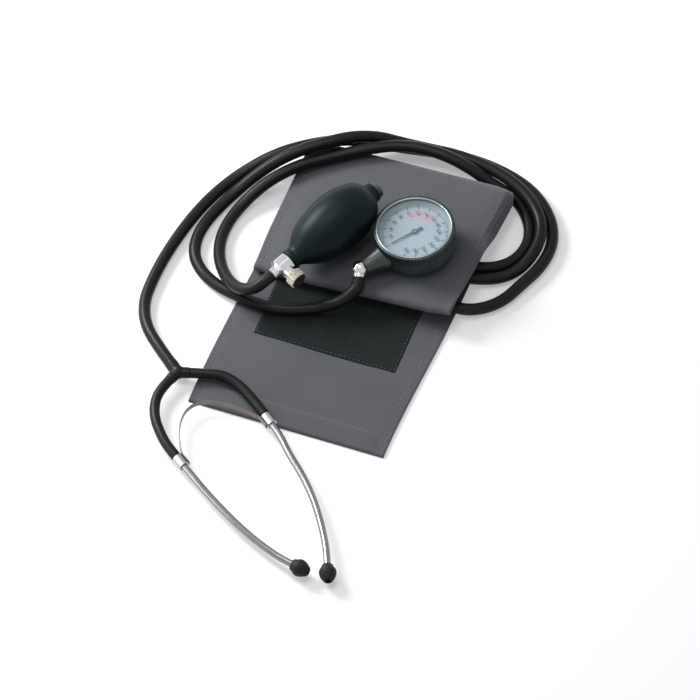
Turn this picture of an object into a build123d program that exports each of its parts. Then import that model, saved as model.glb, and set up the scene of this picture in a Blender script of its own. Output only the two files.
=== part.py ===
from build123d import *
from math import asin, atan2, cos, degrees, hypot, pi, radians, sin, tan
import os

# An aneroid sphygmomanometer, folded as it is put down: a cloth cuff with its bladder, a squeeze bulb
# with a release valve, a dial gauge, two air hoses, and the stethoscope whose tube runs with them.
# Millimetres. The origin is the middle of the cuff's underside, +Z up, +Y towards the cuff's rear fold.

os.makedirs("parts", exist_ok=True)

# Driving sizes of the cuff
cuff_width = 143
cuff_front = -117
cuff_rear = 117
flap_front = 0
tuck_end = 96
cloth = 1.0
bladder_thickness = 1.6
ply_gap = 0.1
fold_gap = 0.5
slot_left = 0.6
slot_right = 13.0
hem_depth = 17
hem_cloth = 0.6
patch_thickness = 0.7
bladder_margin = 11
bladder_rear = 99

# Driving sizes of the hoses
hose_diameter = 8.4
branch_diameter = 8.6
lie_gap = 0.2

# Driving sizes of the bulb and its valves
bulb_radius = 22.6
bulb_wall = 2.6
bulb_x = -25.8
bulb_y = 30.6
bulb_azimuth = 242.2
bulb_droop = 5.8
neck_bore = 4.2
neck_radius = 7.6
neck_end = 38.5
inlet_end = 41.5
valve_radius = 7.0
valve_length = 12.0
screw_radius = 2.5
running_gap = 0.05
knob_radius = 6.2
knob_length = 7.0
knob_flutes = 24

# Driving sizes of the gauge
gauge_y = 44.8
stem_azimuth = 230
case_radius = 26.4
case_height = 20.0
case_wall = 2.0
case_floor = 2.2
bezel_wall = 1.8
bezel_height = 8.0
bezel_flutes = 60
window_lip = 2.4
crystal_thickness = 1.6
stem_height = 11.0
stem_reach = 41.2
bell_radius = 9.6
elbow_radius = 5.6
elbow_reach = 6.0

# Driving sizes of the gauge's movement
gear_module = 0.2
pinion_teeth = 12
sector_count = 96
sector_swing = 40
arbor_radius = 0.6
pivot_radius = 0.5
capsule_clear = 8.0
rocker_drop = 8.4
rocker_arm = 2.4
finger_length = 4.2
tail_length = 5.0
rocker_swing = degrees(2 * asin(tail_length * sin(radians(sector_swing / 2)) / finger_length))

# Driving sizes of the stethoscope
headset_height = 7.8
ear_tube_radius = 2.5
ear_tube_bore = 1.7
spring_thickness = 0.8
spring_height = 4.0
chest_radius = 21
chest_height = 7.4
chest_x = 24
chest_y = 25.6
chest_azimuth = -13
fork_radius = 5.2
fork_x = -90
fork_y = -99.5
left_joint_x = -66.5
left_joint_y = -166.5
right_joint_x = -22
right_joint_y = -113

half_width = cuff_width / 2
lower_top = 2 * cloth + ply_gap
flap_layer = 2 * cloth + bladder_thickness + 2 * ply_gap


def save(builder, label):
    """Label a finished piece and write its file."""
    builder.part.label = label
    export_step(builder.part, "parts/" + label + ".step")


def slot_at(x):
    """Height of the space between the lower layer and the tucked layer."""
    return slot_left + (slot_right - slot_left) * (x + half_width) / cuff_width


def flap_top(x):
    """Height of the flap's upper face above the table."""
    return lower_top + slot_at(x) + 2 * flap_layer + fold_gap


def turning_plane(origin, axis, radial):
    """A plane whose local X is the radius and whose local Y is the axis."""
    return Plane(origin=origin, x_dir=radial, z_dir=radial.cross(axis))


def quarter_arcs(centre, radius, start, turn):
    """Half a turn as two quarter arcs."""
    CenterArc(centre, radius, start, turn / 2)
    CenterArc(centre, radius, start + turn / 2, turn / 2)


def bend_radii(points, share=0.45):
    """The largest arc that each corner of a route takes."""
    radii = []
    for before, point, after in zip(points, points[1:], points[2:]):
        run_in = Vector(*point) - Vector(*before)
        run_out = Vector(*after) - Vector(*point)
        turn = radians(run_in.get_angle(run_out))
        radii.append(share * min(run_in.length, run_out.length) / tan(turn / 2))
    return radii


def tube(points, radius, bore=0):
    """A round tube along straight runs joined by tangent arcs."""
    radii = bend_radii(points)
    with BuildPart() as piece:
        with BuildLine() as path:
            FilletPolyline(*points, radius=radii)
        route = path.wire()
        start = Plane(origin=route @ 0, z_dir=route % 0)
        with BuildSketch(start):
            Circle(radius)
            if bore:
                Circle(bore, mode=Mode.SUBTRACT)
        sweep()
    section = pi * (radius**2 - bore**2)
    print("  tube length", round(route.length, 1), "smallest bend", round(min(radii), 1),
          "volume ratio", round(piece.part.volume / section / route.length, 4))
    return piece


# Cuff: the cloth is one long strip of two plies, folded back at the rear and tucked under at the front.
foot = cloth / 2


def fold_levels(x):
    """Heights and fold radii of the plies at one place across the cuff."""
    top = flap_top(x)
    tuck = lower_top + slot_at(x)
    middle = tuck + flap_layer + fold_gap / 2
    return top, tuck, middle


def outer_ply(x):
    """Section of the outer ply, with a foot below the table that is cut off flat."""
    top, tuck, middle = fold_levels(x)
    rear = cuff_rear - top / 2
    front_radius = flap_layer + fold_gap / 2
    front = flap_front + front_radius
    free_end = cuff_front + hem_cloth + ply_gap
    Line((free_end, -foot), (rear, -foot))
    Line((rear, -foot), (rear, 0))
    quarter_arcs((rear, top / 2), top / 2, -90, 180)
    Line((rear, top), (front, top))
    quarter_arcs((front, middle), front_radius, 90, 180)
    Line((front, tuck), (tuck_end, tuck))
    Line((tuck_end, tuck), (tuck_end, tuck + cloth))
    Line((tuck_end, tuck + cloth), (front, tuck + cloth))
    quarter_arcs((front, middle), front_radius - cloth, 270, -180)
    Line((front, top - cloth), (rear, top - cloth))
    quarter_arcs((rear, top / 2), top / 2 - cloth, 90, -180)
    Line((rear, cloth), (free_end, cloth))
    Line((free_end, cloth), (free_end, -foot))


def inner_ply(x):
    """Section of the inner ply, inside the outer one."""
    top, tuck, middle = fold_levels(x)
    rear = cuff_rear - top / 2
    low = cloth + ply_gap
    high = top - cloth - bladder_thickness - 2 * ply_gap
    rear_radius = (high - low) / 2
    front_radius = cloth + fold_gap / 2
    front = flap_front + flap_layer + fold_gap / 2
    free_end = cuff_front + hem_cloth + ply_gap
    Line((free_end, low), (rear, low))
    quarter_arcs((rear, low + rear_radius), rear_radius, -90, 180)
    Line((rear, high), (front, high))
    quarter_arcs((front, middle), front_radius, 90, 180)
    Line((front, middle - front_radius), (tuck_end, middle - front_radius))
    Line((tuck_end, middle - front_radius), (tuck_end, middle - fold_gap / 2))
    Line((tuck_end, middle - fold_gap / 2), (front, middle - fold_gap / 2))
    quarter_arcs((front, middle), fold_gap / 2, 270, -180)
    Line((front, high - cloth), (rear, high - cloth))
    quarter_arcs((rear, low + rear_radius), rear_radius - cloth, 90, -180)
    Line((rear, low + cloth), (free_end, low + cloth))
    Line((free_end, low + cloth), (free_end, low))


def bladder_section(x):
    """Section of the air bladder, folded round the front between the plies."""
    top, tuck, middle = fold_levels(x)
    outer_radius = bladder_thickness + ply_gap + cloth + fold_gap / 2
    front = flap_front + flap_layer + fold_gap / 2
    Line((bladder_rear, middle + outer_radius), (front, middle + outer_radius))
    quarter_arcs((front, middle), outer_radius, 90, 180)
    Line((front, middle - outer_radius), (tuck_end, middle - outer_radius))
    inner_radius = outer_radius - bladder_thickness
    Line((tuck_end, middle - outer_radius), (tuck_end, middle - inner_radius))
    Line((tuck_end, middle - inner_radius), (front, middle - inner_radius))
    quarter_arcs((front, middle), inner_radius, 270, -180)
    Line((front, middle + inner_radius), (bladder_rear, middle + inner_radius))
    Line((bladder_rear, middle + inner_radius), (bladder_rear, middle + outer_radius))


def across(section, left, right):
    """Carry a section from one side of the cuff to the other as the slot opens."""
    with BuildPart() as piece:
        for x in (left, right):
            with BuildSketch(Plane.YZ.offset(x)):
                with BuildLine():
                    section(x)
                make_face()
        loft(ruled=True)
    return piece


# Bladder ports: elbows that pass through the outer ply, with the hoses pushed on
port_inset = 25.5
port_reach = 5.0
port_x = half_width - port_inset
port_face_x = port_x + port_reach
port_z = 8.0
gauge_port_y = 41.5
bulb_port_y = 51.5
port_stub_radius = 3.0
port_hole_gap = 0.2
port_ceiling = lower_top + slot_at(port_x - port_stub_radius) + cloth

with BuildPart() as cuff_outer:
    add(across(outer_ply, -half_width, half_width).part)
    with BuildSketch():
        Rectangle(2 * cuff_width, 4 * cuff_rear)
    extrude(amount=-cloth, mode=Mode.SUBTRACT)
    with BuildSketch(Plane.XY.offset(port_z)):
        with Locations((port_x, gauge_port_y), (port_x, bulb_port_y)):
            Circle(port_stub_radius + port_hole_gap)
    extrude(amount=port_ceiling - port_z + cloth / 2, mode=Mode.SUBTRACT)
save(cuff_outer, "cuff_outer_panel")
save(across(inner_ply, -half_width, half_width), "cuff_inner_panel")
bladder_edge = half_width - bladder_margin
save(across(bladder_section, -bladder_edge, bladder_edge), "bladder")


def bladder_port(y):
    """A rubber elbow with a domed back, its stub reaching up to the bladder."""
    with BuildPart() as port:
        with BuildSketch(Plane.YZ.offset(port_x)):
            with Locations((y, port_z)):
                Circle(hose_diameter / 2)
        extrude(amount=port_face_x - port_x)
        with Locations((port_x, y, port_z)):
            Sphere(hose_diameter / 2)
        with BuildSketch(Plane.XY.offset(port_z)):
            with Locations((port_x, y)):
                Circle(port_stub_radius)
        extrude(amount=port_ceiling - port_z)
    return port


save(bladder_port(gauge_port_y), "gauge_port")
save(bladder_port(bulb_port_y), "bulb_port")

# Hook patch on the lower layer, with the loop patch it fastens to under the tucked layer
hook_left, hook_right = 17.5 - half_width, half_width - 22.5
hook_front, hook_rear = -47, 13
with BuildPart() as hook_patch:
    with BuildSketch(Plane.XY.offset(lower_top)):
        with Locations(((hook_left + hook_right) / 2, (hook_front + hook_rear) / 2)):
            Rectangle(hook_right - hook_left, hook_rear - hook_front)
    extrude(amount=patch_thickness)
save(hook_patch, "hook_patch")

loop_left, loop_right = 17.5 - half_width, half_width - 35.5
loop_front, loop_rear = 48, 92


def loop_section(x):
    """Section of the loop patch, hanging under the tucked layer."""
    face = lower_top + slot_at(x)
    Polyline((loop_front, face), (loop_rear, face), (loop_rear, face - patch_thickness),
             (loop_front, face - patch_thickness), close=True)


save(across(loop_section, loop_left, loop_right), "loop_patch")

# Hem: the folded tape that closes the free end
with BuildPart() as hem:
    with BuildSketch(Plane.YZ.offset(-half_width)):
        with BuildLine():
            Polyline((cuff_front, 0), (cuff_front, lower_top + hem_cloth),
                     (cuff_front + hem_depth, lower_top + hem_cloth), (cuff_front + hem_depth, lower_top),
                     (cuff_front + hem_cloth, lower_top), (cuff_front + hem_cloth, 0), close=True)
        make_face()
    extrude(amount=cuff_width)
save(hem, "cuff_hem")

# Bulb: an egg of thick rubber with a neck for the valve and a boss for the inlet
bulb_lift = 0.52
bulb_centre = Vector(bulb_x, bulb_y, flap_top(bulb_x) + bulb_radius + bulb_lift)
droop = radians(bulb_droop)
azimuth = radians(bulb_azimuth)
bulb_direction = Vector(cos(azimuth) * cos(droop), sin(azimuth) * cos(droop), -sin(droop))
side_direction = Vector(0, 0, 1).cross(bulb_direction).normalized()
bulb_plane = turning_plane(bulb_centre, bulb_direction, side_direction)
bulb_axis = Axis(bulb_centre, bulb_direction)


def along_bulb(distance, sideways=0):
    """A point on the bulb's axis, or beside it towards the release screw."""
    return bulb_centre + bulb_direction * distance + side_direction * sideways


inlet_radius = 7.0
inlet_bore = 4.2
neck_length = 2.5
neck_depth = 9.0
shoulder = 0.76
shoulder_place = 24.5
with BuildPart() as bulb:
    with BuildSketch(bulb_plane):
        with BuildLine():
            Polyline((neck_bore, neck_end), (neck_radius, neck_end), (neck_radius, neck_end - neck_length))
            Spline((neck_radius, neck_end - neck_length), (bulb_radius * shoulder, shoulder_place),
                   (bulb_radius, 0), (bulb_radius * shoulder, -shoulder_place),
                   (inlet_radius, -inlet_end + neck_length), tangents=((0.4, -1), (-0.4, -1)))
            Polyline((inlet_radius, -inlet_end + neck_length), (inlet_radius, -inlet_end),
                     (inlet_bore, -inlet_end), (inlet_bore, -inlet_end + neck_depth))
            hollow_radius = bulb_radius - bulb_wall
            Spline((inlet_bore, -inlet_end + neck_depth), (hollow_radius * shoulder, -shoulder_place),
                   (hollow_radius, 0), (hollow_radius * shoulder, shoulder_place),
                   (neck_bore, neck_end - neck_depth), tangents=((1, 0.6), (-1, 0.6)))
            Line((neck_bore, neck_end - neck_depth), (neck_bore, neck_end))
        make_face()
    revolve(axis=bulb_axis)
save(bulb, "bulb")

# Release valve: a turned body whose barb sits in the neck, with a boss for the screw on its side
barb_end = neck_end - neck_depth - 0.5
barb_radius = neck_bore - running_gap
body_end = neck_end + valve_length
nipple_end = body_end + 4
air_bore = 1.3
screw_place = neck_end + valve_length / 2
boss_radius = 5.0
boss_reach = valve_radius + 2.6
seat_depth = 2.6
pocket_radius = 2.7
pocket_depth = 3.2
with BuildPart() as valve_body:
    with BuildSketch(bulb_plane):
        with BuildLine():
            Polyline((air_bore, barb_end), (barb_radius, barb_end), (barb_radius, neck_end),
                     (valve_radius - 0.8, neck_end), (valve_radius, neck_end + 0.8),
                     (valve_radius, body_end - 2), (hose_diameter / 2, body_end),
                     (hose_diameter / 2, nipple_end), (air_bore, nipple_end), close=True)
        make_face()
    revolve(axis=bulb_axis)
    with BuildSketch(Plane(along_bulb(screw_place), x_dir=bulb_direction, z_dir=side_direction)):
        Circle(boss_radius)
    extrude(amount=boss_reach)
    with BuildSketch(Plane(along_bulb(barb_end), x_dir=side_direction, z_dir=bulb_direction)):
        Circle(pocket_radius)
    extrude(amount=pocket_depth, mode=Mode.SUBTRACT)
    with BuildSketch(Plane(along_bulb(screw_place, seat_depth), x_dir=bulb_direction, z_dir=side_direction)):
        Circle(screw_radius + running_gap)
    extrude(amount=boss_reach, mode=Mode.SUBTRACT)
    with BuildSketch(Plane(along_bulb(screw_place), x_dir=bulb_direction, z_dir=side_direction)):
        Circle(air_bore)
    extrude(amount=seat_depth, mode=Mode.SUBTRACT)
save(valve_body, "valve_body")

# Release screw: needle, shank and a fluted knob, turned about its own length
knob_start = boss_reach + 0.3
knob_end = knob_start + knob_length
screw_plane = turning_plane(along_bulb(screw_place), side_direction, bulb_direction)
screw_axis = Axis(along_bulb(screw_place), side_direction)
flute_radius = 0.55
with BuildPart() as release_screw:
    with BuildSketch(screw_plane):
        with BuildLine():
            Polyline((0, seat_depth + 0.1), (air_bore * 0.6, seat_depth + 0.1), (screw_radius, seat_depth + 2),
                     (screw_radius, knob_start), (knob_radius - 0.6, knob_start),
                     (knob_radius, knob_start + 0.6), (knob_radius, knob_end - 0.6),
                     (knob_radius - 0.6, knob_end), (0, knob_end), close=True)
        make_face()
    revolve(axis=screw_axis)
    with BuildSketch(Plane(along_bulb(screw_place, knob_start), x_dir=bulb_direction, z_dir=side_direction)):
        with PolarLocations(knob_radius, knob_flutes):
            Circle(flute_radius)
    extrude(amount=knob_length, mode=Mode.SUBTRACT)
save(release_screw, "release_screw")

# Check valve in the barb: a rubber disc that lifts to let air through to the hose
disc_radius = pocket_radius - running_gap * 4
disc_thickness = 0.8
disc_lift = 0.8
cap_thickness = 0.6
with BuildPart() as check_disc:
    with BuildSketch(Plane(along_bulb(barb_end + cap_thickness + 0.1), x_dir=side_direction, z_dir=bulb_direction)):
        Circle(disc_radius)
    extrude(amount=disc_thickness)
save(check_disc, "check_valve_disc")
with BuildPart() as check_cap:
    with BuildSketch(Plane(along_bulb(barb_end), x_dir=side_direction, z_dir=bulb_direction)):
        Circle(pocket_radius)
        with PolarLocations(pocket_radius / 2, 3):
            Circle(pocket_radius / 4, mode=Mode.SUBTRACT)
    extrude(amount=cap_thickness)
save(check_cap, "check_valve_cap")

# Inlet valve: a turned housing in the boss, its ball kept in by a perforated retainer
flange_radius = 5.9
flange_thickness = 3.0
housing_inner = -inlet_end + neck_depth
ball_radius = 2.1
ball_room = 2.4
ball_chamber = -inlet_end + 1.5
retainer_thickness = 0.7
ball_lift = 1.0
with BuildPart() as inlet_housing:
    with BuildSketch(bulb_plane):
        with BuildLine():
            outer_face = -inlet_end - flange_thickness
            Polyline((air_bore, outer_face), (flange_radius - 0.6, outer_face),
                     (flange_radius, outer_face + 0.6), (flange_radius, -inlet_end),
                     (inlet_bore - running_gap, -inlet_end), (inlet_bore - running_gap, housing_inner),
                     (ball_room, housing_inner), (ball_room, ball_chamber), (air_bore, ball_chamber - 1.2),
                     close=True)
        make_face()
    revolve(axis=bulb_axis)
save(inlet_housing, "inlet_valve_housing")
ball_rest = ball_chamber + ball_radius + 0.1
with BuildPart() as inlet_ball:
    with Locations(along_bulb(ball_rest)):
        Sphere(ball_radius)
save(inlet_ball, "inlet_valve_ball")
with BuildPart() as inlet_retainer:
    with BuildSketch(Plane(along_bulb(housing_inner - retainer_thickness), x_dir=side_direction,
                           z_dir=bulb_direction)):
        Circle(ball_room)
        with PolarLocations(ball_room * 0.6, 3):
            Circle(ball_room / 4, mode=Mode.SUBTRACT)
    extrude(amount=retainer_thickness)
save(inlet_retainer, "inlet_valve_retainer")

# Gauge frame: it lies on the sloping flap, local X along its hose stem and local Z through the dial
slope = atan2(slot_right - slot_left, cuff_width)
flap_normal = Vector(-sin(slope), 0, cos(slope))
stem_flat = Vector(cos(radians(stem_azimuth)), sin(radians(stem_azimuth)), 0)
stem_direction = (stem_flat - flap_normal * stem_flat.dot(flap_normal)).normalized()
gauge_x = case_radius + 5.8
gauge_seat = Vector(gauge_x, gauge_y, flap_top(gauge_x) + lie_gap)
gauge_plane = Plane(origin=gauge_seat, x_dir=stem_direction, z_dir=flap_normal)
gauge_side = turning_plane(gauge_seat, flap_normal, stem_direction)
gauge_axis = Axis(gauge_seat, flap_normal)


def in_gauge(x, y, height):
    """A point given in the gauge's own frame."""
    return gauge_plane.from_local_coords(Vector(x, y, height))


# Heights inside the gauge, measured down from the rim of the case
plate_low = case_height - 6.6
plate_thickness = 0.8
bridge_low = case_height - 2.4
bridge_thickness = 0.8
dial_low = case_height - 0.8
dial_thickness = 0.6
pointer_low = case_height + 0.6
crystal_low = case_height + 2.6
capsule_low = case_floor + 1.2
capsule_thickness = case_height - 14.4
rocker_height = case_height - rocker_drop
bezel_low = case_height - 1.2
bezel_top = bezel_low + bezel_height

# Case: a cast cup with a bell-shaped stem for the hose
case_bore = case_radius - case_wall
base_radius = case_radius - 4.5
bell_start = case_bore + 0.6
bell_length = stem_reach - case_radius
boss_ring = case_bore - 3.4
case_boss_radius = 2.2
bezel_radius = case_radius + bezel_wall
window_radius = case_radius - window_lip
bezel_clear = 0.2
with BuildPart() as gauge_case:
    with BuildSketch(gauge_side):
        with BuildLine():
            Polyline((0, 0), (base_radius - 1.5, 0))
            ThreePointArc((base_radius - 1.5, 0), (case_radius - 1.6, 3.2), (case_radius, 9))
            Polyline((case_radius, 9), (case_radius, case_height), (case_bore, case_height),
                     (case_bore, 8))
            ThreePointArc((case_bore, 8), (case_bore - 1.2, 4.4), (case_bore - 5, case_floor))
            Polyline((case_bore - 5, case_floor), (0, case_floor), (0, 0))
        make_face()
    revolve(axis=gauge_axis)
    stem_axis = Axis(in_gauge(0, 0, stem_height), stem_direction)
    stem_plane = turning_plane(in_gauge(0, 0, stem_height), stem_direction, flap_normal)
    with BuildSketch(stem_plane):
        with BuildLine():
            neck = elbow_radius
            Polyline((air_bore, bell_start), (bell_radius, bell_start))
            Spline((bell_radius, bell_start), (bell_radius - 1.2, case_radius + bell_length * 0.26),
                   (neck + 1.1, case_radius + bell_length * 0.62), (neck, stem_reach),
                   tangents=((0, 1), (-0.05, 1)))
            Polyline((neck, stem_reach), (air_bore, stem_reach), (air_bore, bell_start))
        make_face()
    revolve(axis=stem_axis)
    with BuildSketch(gauge_plane.offset(case_floor)):
        with PolarLocations(boss_ring, 3, start_angle=90):
            Circle(case_boss_radius)
    extrude(amount=plate_low - case_floor)
    with BuildSketch(gauge_plane.offset(bezel_low - bezel_clear)):
        Circle(bezel_radius + bezel_clear)
        Circle(case_radius, mode=Mode.SUBTRACT)
    extrude(amount=bezel_height, mode=Mode.SUBTRACT)
    with BuildSketch(gauge_plane.offset(case_height)):
        Circle(bezel_radius + bezel_clear)
    extrude(amount=bezel_height, mode=Mode.SUBTRACT)
save(gauge_case, "gauge_case")

# Hose elbow: a plated ball and nipple that turns the hose down off the flap
elbow_direction = Vector(0.2, -0.88, -0.43).normalized()
elbow_centre = in_gauge(stem_reach + elbow_radius * 0.6, 0, stem_height)
elbow_face = elbow_centre + elbow_direction * elbow_reach
with BuildPart() as hose_elbow:
    with Locations(elbow_centre):
        Sphere(elbow_radius)
    with BuildSketch(Plane(origin=elbow_centre, z_dir=elbow_direction)):
        Circle(hose_diameter / 2)
    extrude(amount=elbow_reach)
    with BuildSketch(Plane(origin=elbow_centre + elbow_direction * (elbow_reach - 2.2), z_dir=elbow_direction)):
        Circle(hose_diameter / 2 + 0.7)
    extrude(amount=1.2)
    with BuildSketch(Plane(origin=in_gauge(stem_reach, 0, stem_height), z_dir=stem_direction)):
        Circle(elbow_radius * 3)
    extrude(amount=-elbow_radius, mode=Mode.SUBTRACT)
save(hose_elbow, "hose_elbow")

# Bezel: a fluted ring pressed over the case, holding the crystal under its lip
lip_thickness = 1.2
bezel_bore = case_radius + running_gap
crystal_radius = case_radius - 0.4
crystal_top = crystal_low + crystal_thickness
with BuildPart() as bezel:
    with BuildSketch(gauge_side):
        with BuildLine():
            Polyline((bezel_bore, bezel_low), (bezel_radius, bezel_low), (bezel_radius, bezel_top - 3),
                     (bezel_radius - 1.2, bezel_top - 0.5), (bezel_radius - 2.4, bezel_top),
                     (window_radius + 0.6, bezel_top), (window_radius, bezel_top - 0.6),
                     (window_radius, crystal_top + running_gap),
                     (crystal_radius + running_gap, crystal_top + running_gap),
                     (crystal_radius + running_gap, crystal_low), (window_radius + 0.8, crystal_low),
                     (window_radius + 0.8, case_height + running_gap),
                     (bezel_bore, case_height + running_gap), close=True)
        make_face()
    revolve(axis=gauge_axis)
    with BuildSketch(gauge_plane.offset(bezel_low)):
        with PolarLocations(bezel_radius + 0.25, bezel_flutes):
            Circle(0.6)
    extrude(amount=bezel_height - 3, mode=Mode.SUBTRACT)
save(bezel, "bezel")
with BuildPart() as crystal:
    with BuildSketch(gauge_plane.offset(crystal_low)):
        Circle(crystal_radius)
    extrude(amount=crystal_thickness)
save(crystal, "crystal")

# Dial on three posts, held by two screws
dial_radius = case_bore - 0.3
dial_hole = 1.6
plate_radius = case_bore - 1.5
bridge_radius = plate_radius - 5
dial_screw_ring = bridge_radius - 3
dial_screw_angle = 70
with BuildPart() as dial:
    with BuildSketch(gauge_plane.offset(dial_low)):
        Circle(dial_radius)
        Circle(dial_hole, mode=Mode.SUBTRACT)
    extrude(amount=dial_thickness)
save(dial, "dial")
with BuildPart() as dial_screws:
    with BuildSketch(gauge_plane.offset(dial_low + dial_thickness)):
        with PolarLocations(dial_screw_ring, 2, start_angle=dial_screw_angle):
            Circle(1.0)
    extrude(amount=0.4)
save(dial_screws, "dial_screws")

# Movement plates: the lower one carries the rocker, the upper one the dial
link_distance = gear_module * (pinion_teeth + sector_count) / 2
sector_x = rocker_arm + 1.5
sector_y = (link_distance**2 - sector_x**2) ** 0.5
pillar_ring = bridge_radius - 2
pillar_radius = 1.5
pillar_angle = 20
slot_reach = 6.4
ear_thickness = 1.0
rocker_front = -3.6
rocker_rear = sector_y - tail_length + 1.6
rocker_pin = 0.7
with BuildPart() as lower_plate:
    with BuildSketch(gauge_plane.offset(plate_low)):
        Circle(plate_radius)
        Circle(pivot_radius + running_gap, mode=Mode.SUBTRACT)
        with Locations((sector_x, sector_y)):
            Circle(pivot_radius + running_gap, mode=Mode.SUBTRACT)
        with Locations((sector_x - 0.4, sector_y - tail_length)):
            Rectangle(slot_reach + 1.4, 2.4, mode=Mode.SUBTRACT)
        with PolarLocations(plate_radius * 0.56, 2, start_angle=200):
            Circle(plate_radius * 0.24, mode=Mode.SUBTRACT)
    extrude(amount=plate_thickness)
    for ear_y in (rocker_front - ear_thickness - 0.1, rocker_rear + 0.1):
        with BuildSketch(Plane(origin=in_gauge(0, ear_y, 0), x_dir=stem_direction,
                               z_dir=-gauge_plane.y_dir)):
            with Locations((rocker_arm, (rocker_height + plate_low) / 2 - 0.6)):
                Rectangle(3, plate_low - rocker_height + 1.2)
            with Locations((rocker_arm, rocker_height)):
                Circle(rocker_pin + running_gap, mode=Mode.SUBTRACT)
        extrude(amount=-ear_thickness)
save(lower_plate, "movement_plate")
with BuildPart() as bridge:
    with BuildSketch(gauge_plane.offset(bridge_low)):
        Circle(bridge_radius)
        Circle(arbor_radius + running_gap, mode=Mode.SUBTRACT)
        with Locations((sector_x, sector_y)):
            Circle(pivot_radius + running_gap, mode=Mode.SUBTRACT)
        with PolarLocations(bridge_radius * 0.545, 2, start_angle=160):
            Circle(bridge_radius * 0.218, mode=Mode.SUBTRACT)
    extrude(amount=bridge_thickness)
    with BuildSketch(gauge_plane.offset(bridge_low + bridge_thickness)):
        with PolarLocations(dial_screw_ring, 2, start_angle=dial_screw_angle):
            Circle(1.6)
    extrude(amount=dial_low - bridge_low - bridge_thickness)
save(bridge, "movement_bridge")
with BuildPart() as pillars:
    with BuildSketch(gauge_plane.offset(plate_low + plate_thickness)):
        with PolarLocations(pillar_ring, 3, start_angle=pillar_angle):
            Circle(pillar_radius)
    extrude(amount=bridge_low - plate_low - plate_thickness)
save(pillars, "movement_pillars")
with BuildPart() as plate_screws:
    with BuildSketch(gauge_plane.offset(plate_low + plate_thickness)):
        with PolarLocations(boss_ring, 3, start_angle=90):
            Circle(1.3)
    extrude(amount=0.8)
save(plate_screws, "plate_screws")


# Gear teeth: slim straight-sided teeth with room to run freely
def toothed(pitch_radius, count, first, number, root_depth, tip_height, share):
    """Teeth standing on a pitch circle; widths are shares of the tooth pitch."""
    width = share * pi * gear_module
    root = pitch_radius - root_depth
    tip = pitch_radius + tip_height
    with PolarLocations(0, number, start_angle=first, angular_range=number * 360 / count):
        Polygon((root, -width * 0.66), (pitch_radius, -width / 2), (tip, -width * 0.2),
                (tip, width * 0.2), (pitch_radius, width / 2), (root, width * 0.66), align=None)


pinion_radius = gear_module * pinion_teeth / 2
sector_radius = gear_module * sector_count / 2
root_depth = gear_module * 1.25
tip_height = gear_module * 0.85
line_angle = degrees(atan2(sector_y, sector_x))
pinion_low = bridge_low - 1.7
pinion_high = bridge_low - 0.5
with BuildPart() as pinion:
    with BuildSketch(gauge_plane.offset(pinion_low)):
        Circle(pinion_radius - root_depth + 0.02)
        toothed(pinion_radius, pinion_teeth, line_angle + 180 / pinion_teeth, pinion_teeth,
                root_depth, tip_height, 0.4)
    extrude(amount=pinion_high - pinion_low)
    with BuildSketch(gauge_side):
        with BuildLine():
            Polyline((0, plate_low + 0.1), (pivot_radius, plate_low + 0.1),
                     (pivot_radius, plate_low + plate_thickness + 0.1),
                     (arbor_radius, plate_low + plate_thickness + 0.1), (arbor_radius, pointer_low + 0.8),
                     (0, pointer_low + 0.8), close=True)
        make_face()
    revolve(axis=gauge_axis)
save(pinion, "pinion_arbor")

# Sector gear: its toothed arc, web, hub and the pin that the rocker's finger pushes
margin_teeth = 2
tooth_angle = 360 / sector_count
engaged = line_angle + 180
travel_teeth = round(sector_swing / tooth_angle)
sector_first = engaged - (travel_teeth + margin_teeth) * tooth_angle
sector_number = travel_teeth + 2 * margin_teeth + 1
web_low = bridge_low - 1.5
web_high = bridge_low - 0.8
hub_radius = 2.2
pin_radius = 0.5
pin_angle = -90 - sector_swing / 2
sector_plane = Plane(origin=in_gauge(sector_x, sector_y, 0), x_dir=stem_direction, z_dir=flap_normal)
web_start = sector_first - tooth_angle
web_size = (sector_number + 1) * tooth_angle
web_rim = sector_radius - root_depth + 0.02
with BuildPart() as sector_gear:
    with BuildSketch(sector_plane.offset(web_low)):
        with BuildLine():
            Line((0, 0), (web_rim * cos(radians(web_start)), web_rim * sin(radians(web_start))))
            CenterArc((0, 0), web_rim, web_start, web_size)
            web_stop = radians(web_start + web_size)
            Line((web_rim * cos(web_stop), web_rim * sin(web_stop)), (0, 0))
        make_face()
        with BuildLine():
            window_start = radians(web_start + 9)
            window_stop = radians(web_start + web_size - 17)
            Line((4.2 * cos(window_start), 4.2 * sin(window_start)),
                 (8 * cos(window_start), 8 * sin(window_start)))
            CenterArc((0, 0), 8, degrees(window_start), degrees(window_stop - window_start))
            Line((8 * cos(window_stop), 8 * sin(window_stop)),
                 (4.2 * cos(window_stop), 4.2 * sin(window_stop)))
            CenterArc((0, 0), 4.2, degrees(window_stop), degrees(window_start - window_stop))
        make_face(mode=Mode.SUBTRACT)
        toothed(sector_radius, sector_count, sector_first, sector_number, root_depth, tip_height, 0.42)
        Circle(hub_radius)
        with PolarLocations(tail_length, 1, start_angle=pin_angle):
            Circle(pin_radius + 0.7)
    extrude(amount=web_high - web_low)
    with BuildSketch(sector_plane.offset(plate_low + plate_thickness + 0.7)):
        with PolarLocations(tail_length, 1, start_angle=pin_angle):
            Circle(pin_radius)
    extrude(amount=web_low - plate_low - plate_thickness - 0.7)
    with BuildSketch(sector_plane.offset(plate_low + 0.1)):
        Circle(pivot_radius)
    extrude(amount=bridge_low + bridge_thickness - plate_low - 0.2)
    with BuildSketch(sector_plane.offset(plate_low + plate_thickness + 0.1)):
        Circle(pivot_radius + 0.4)
    extrude(amount=bridge_low - plate_low - plate_thickness - 0.2)
save(sector_gear, "sector_gear")

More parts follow.
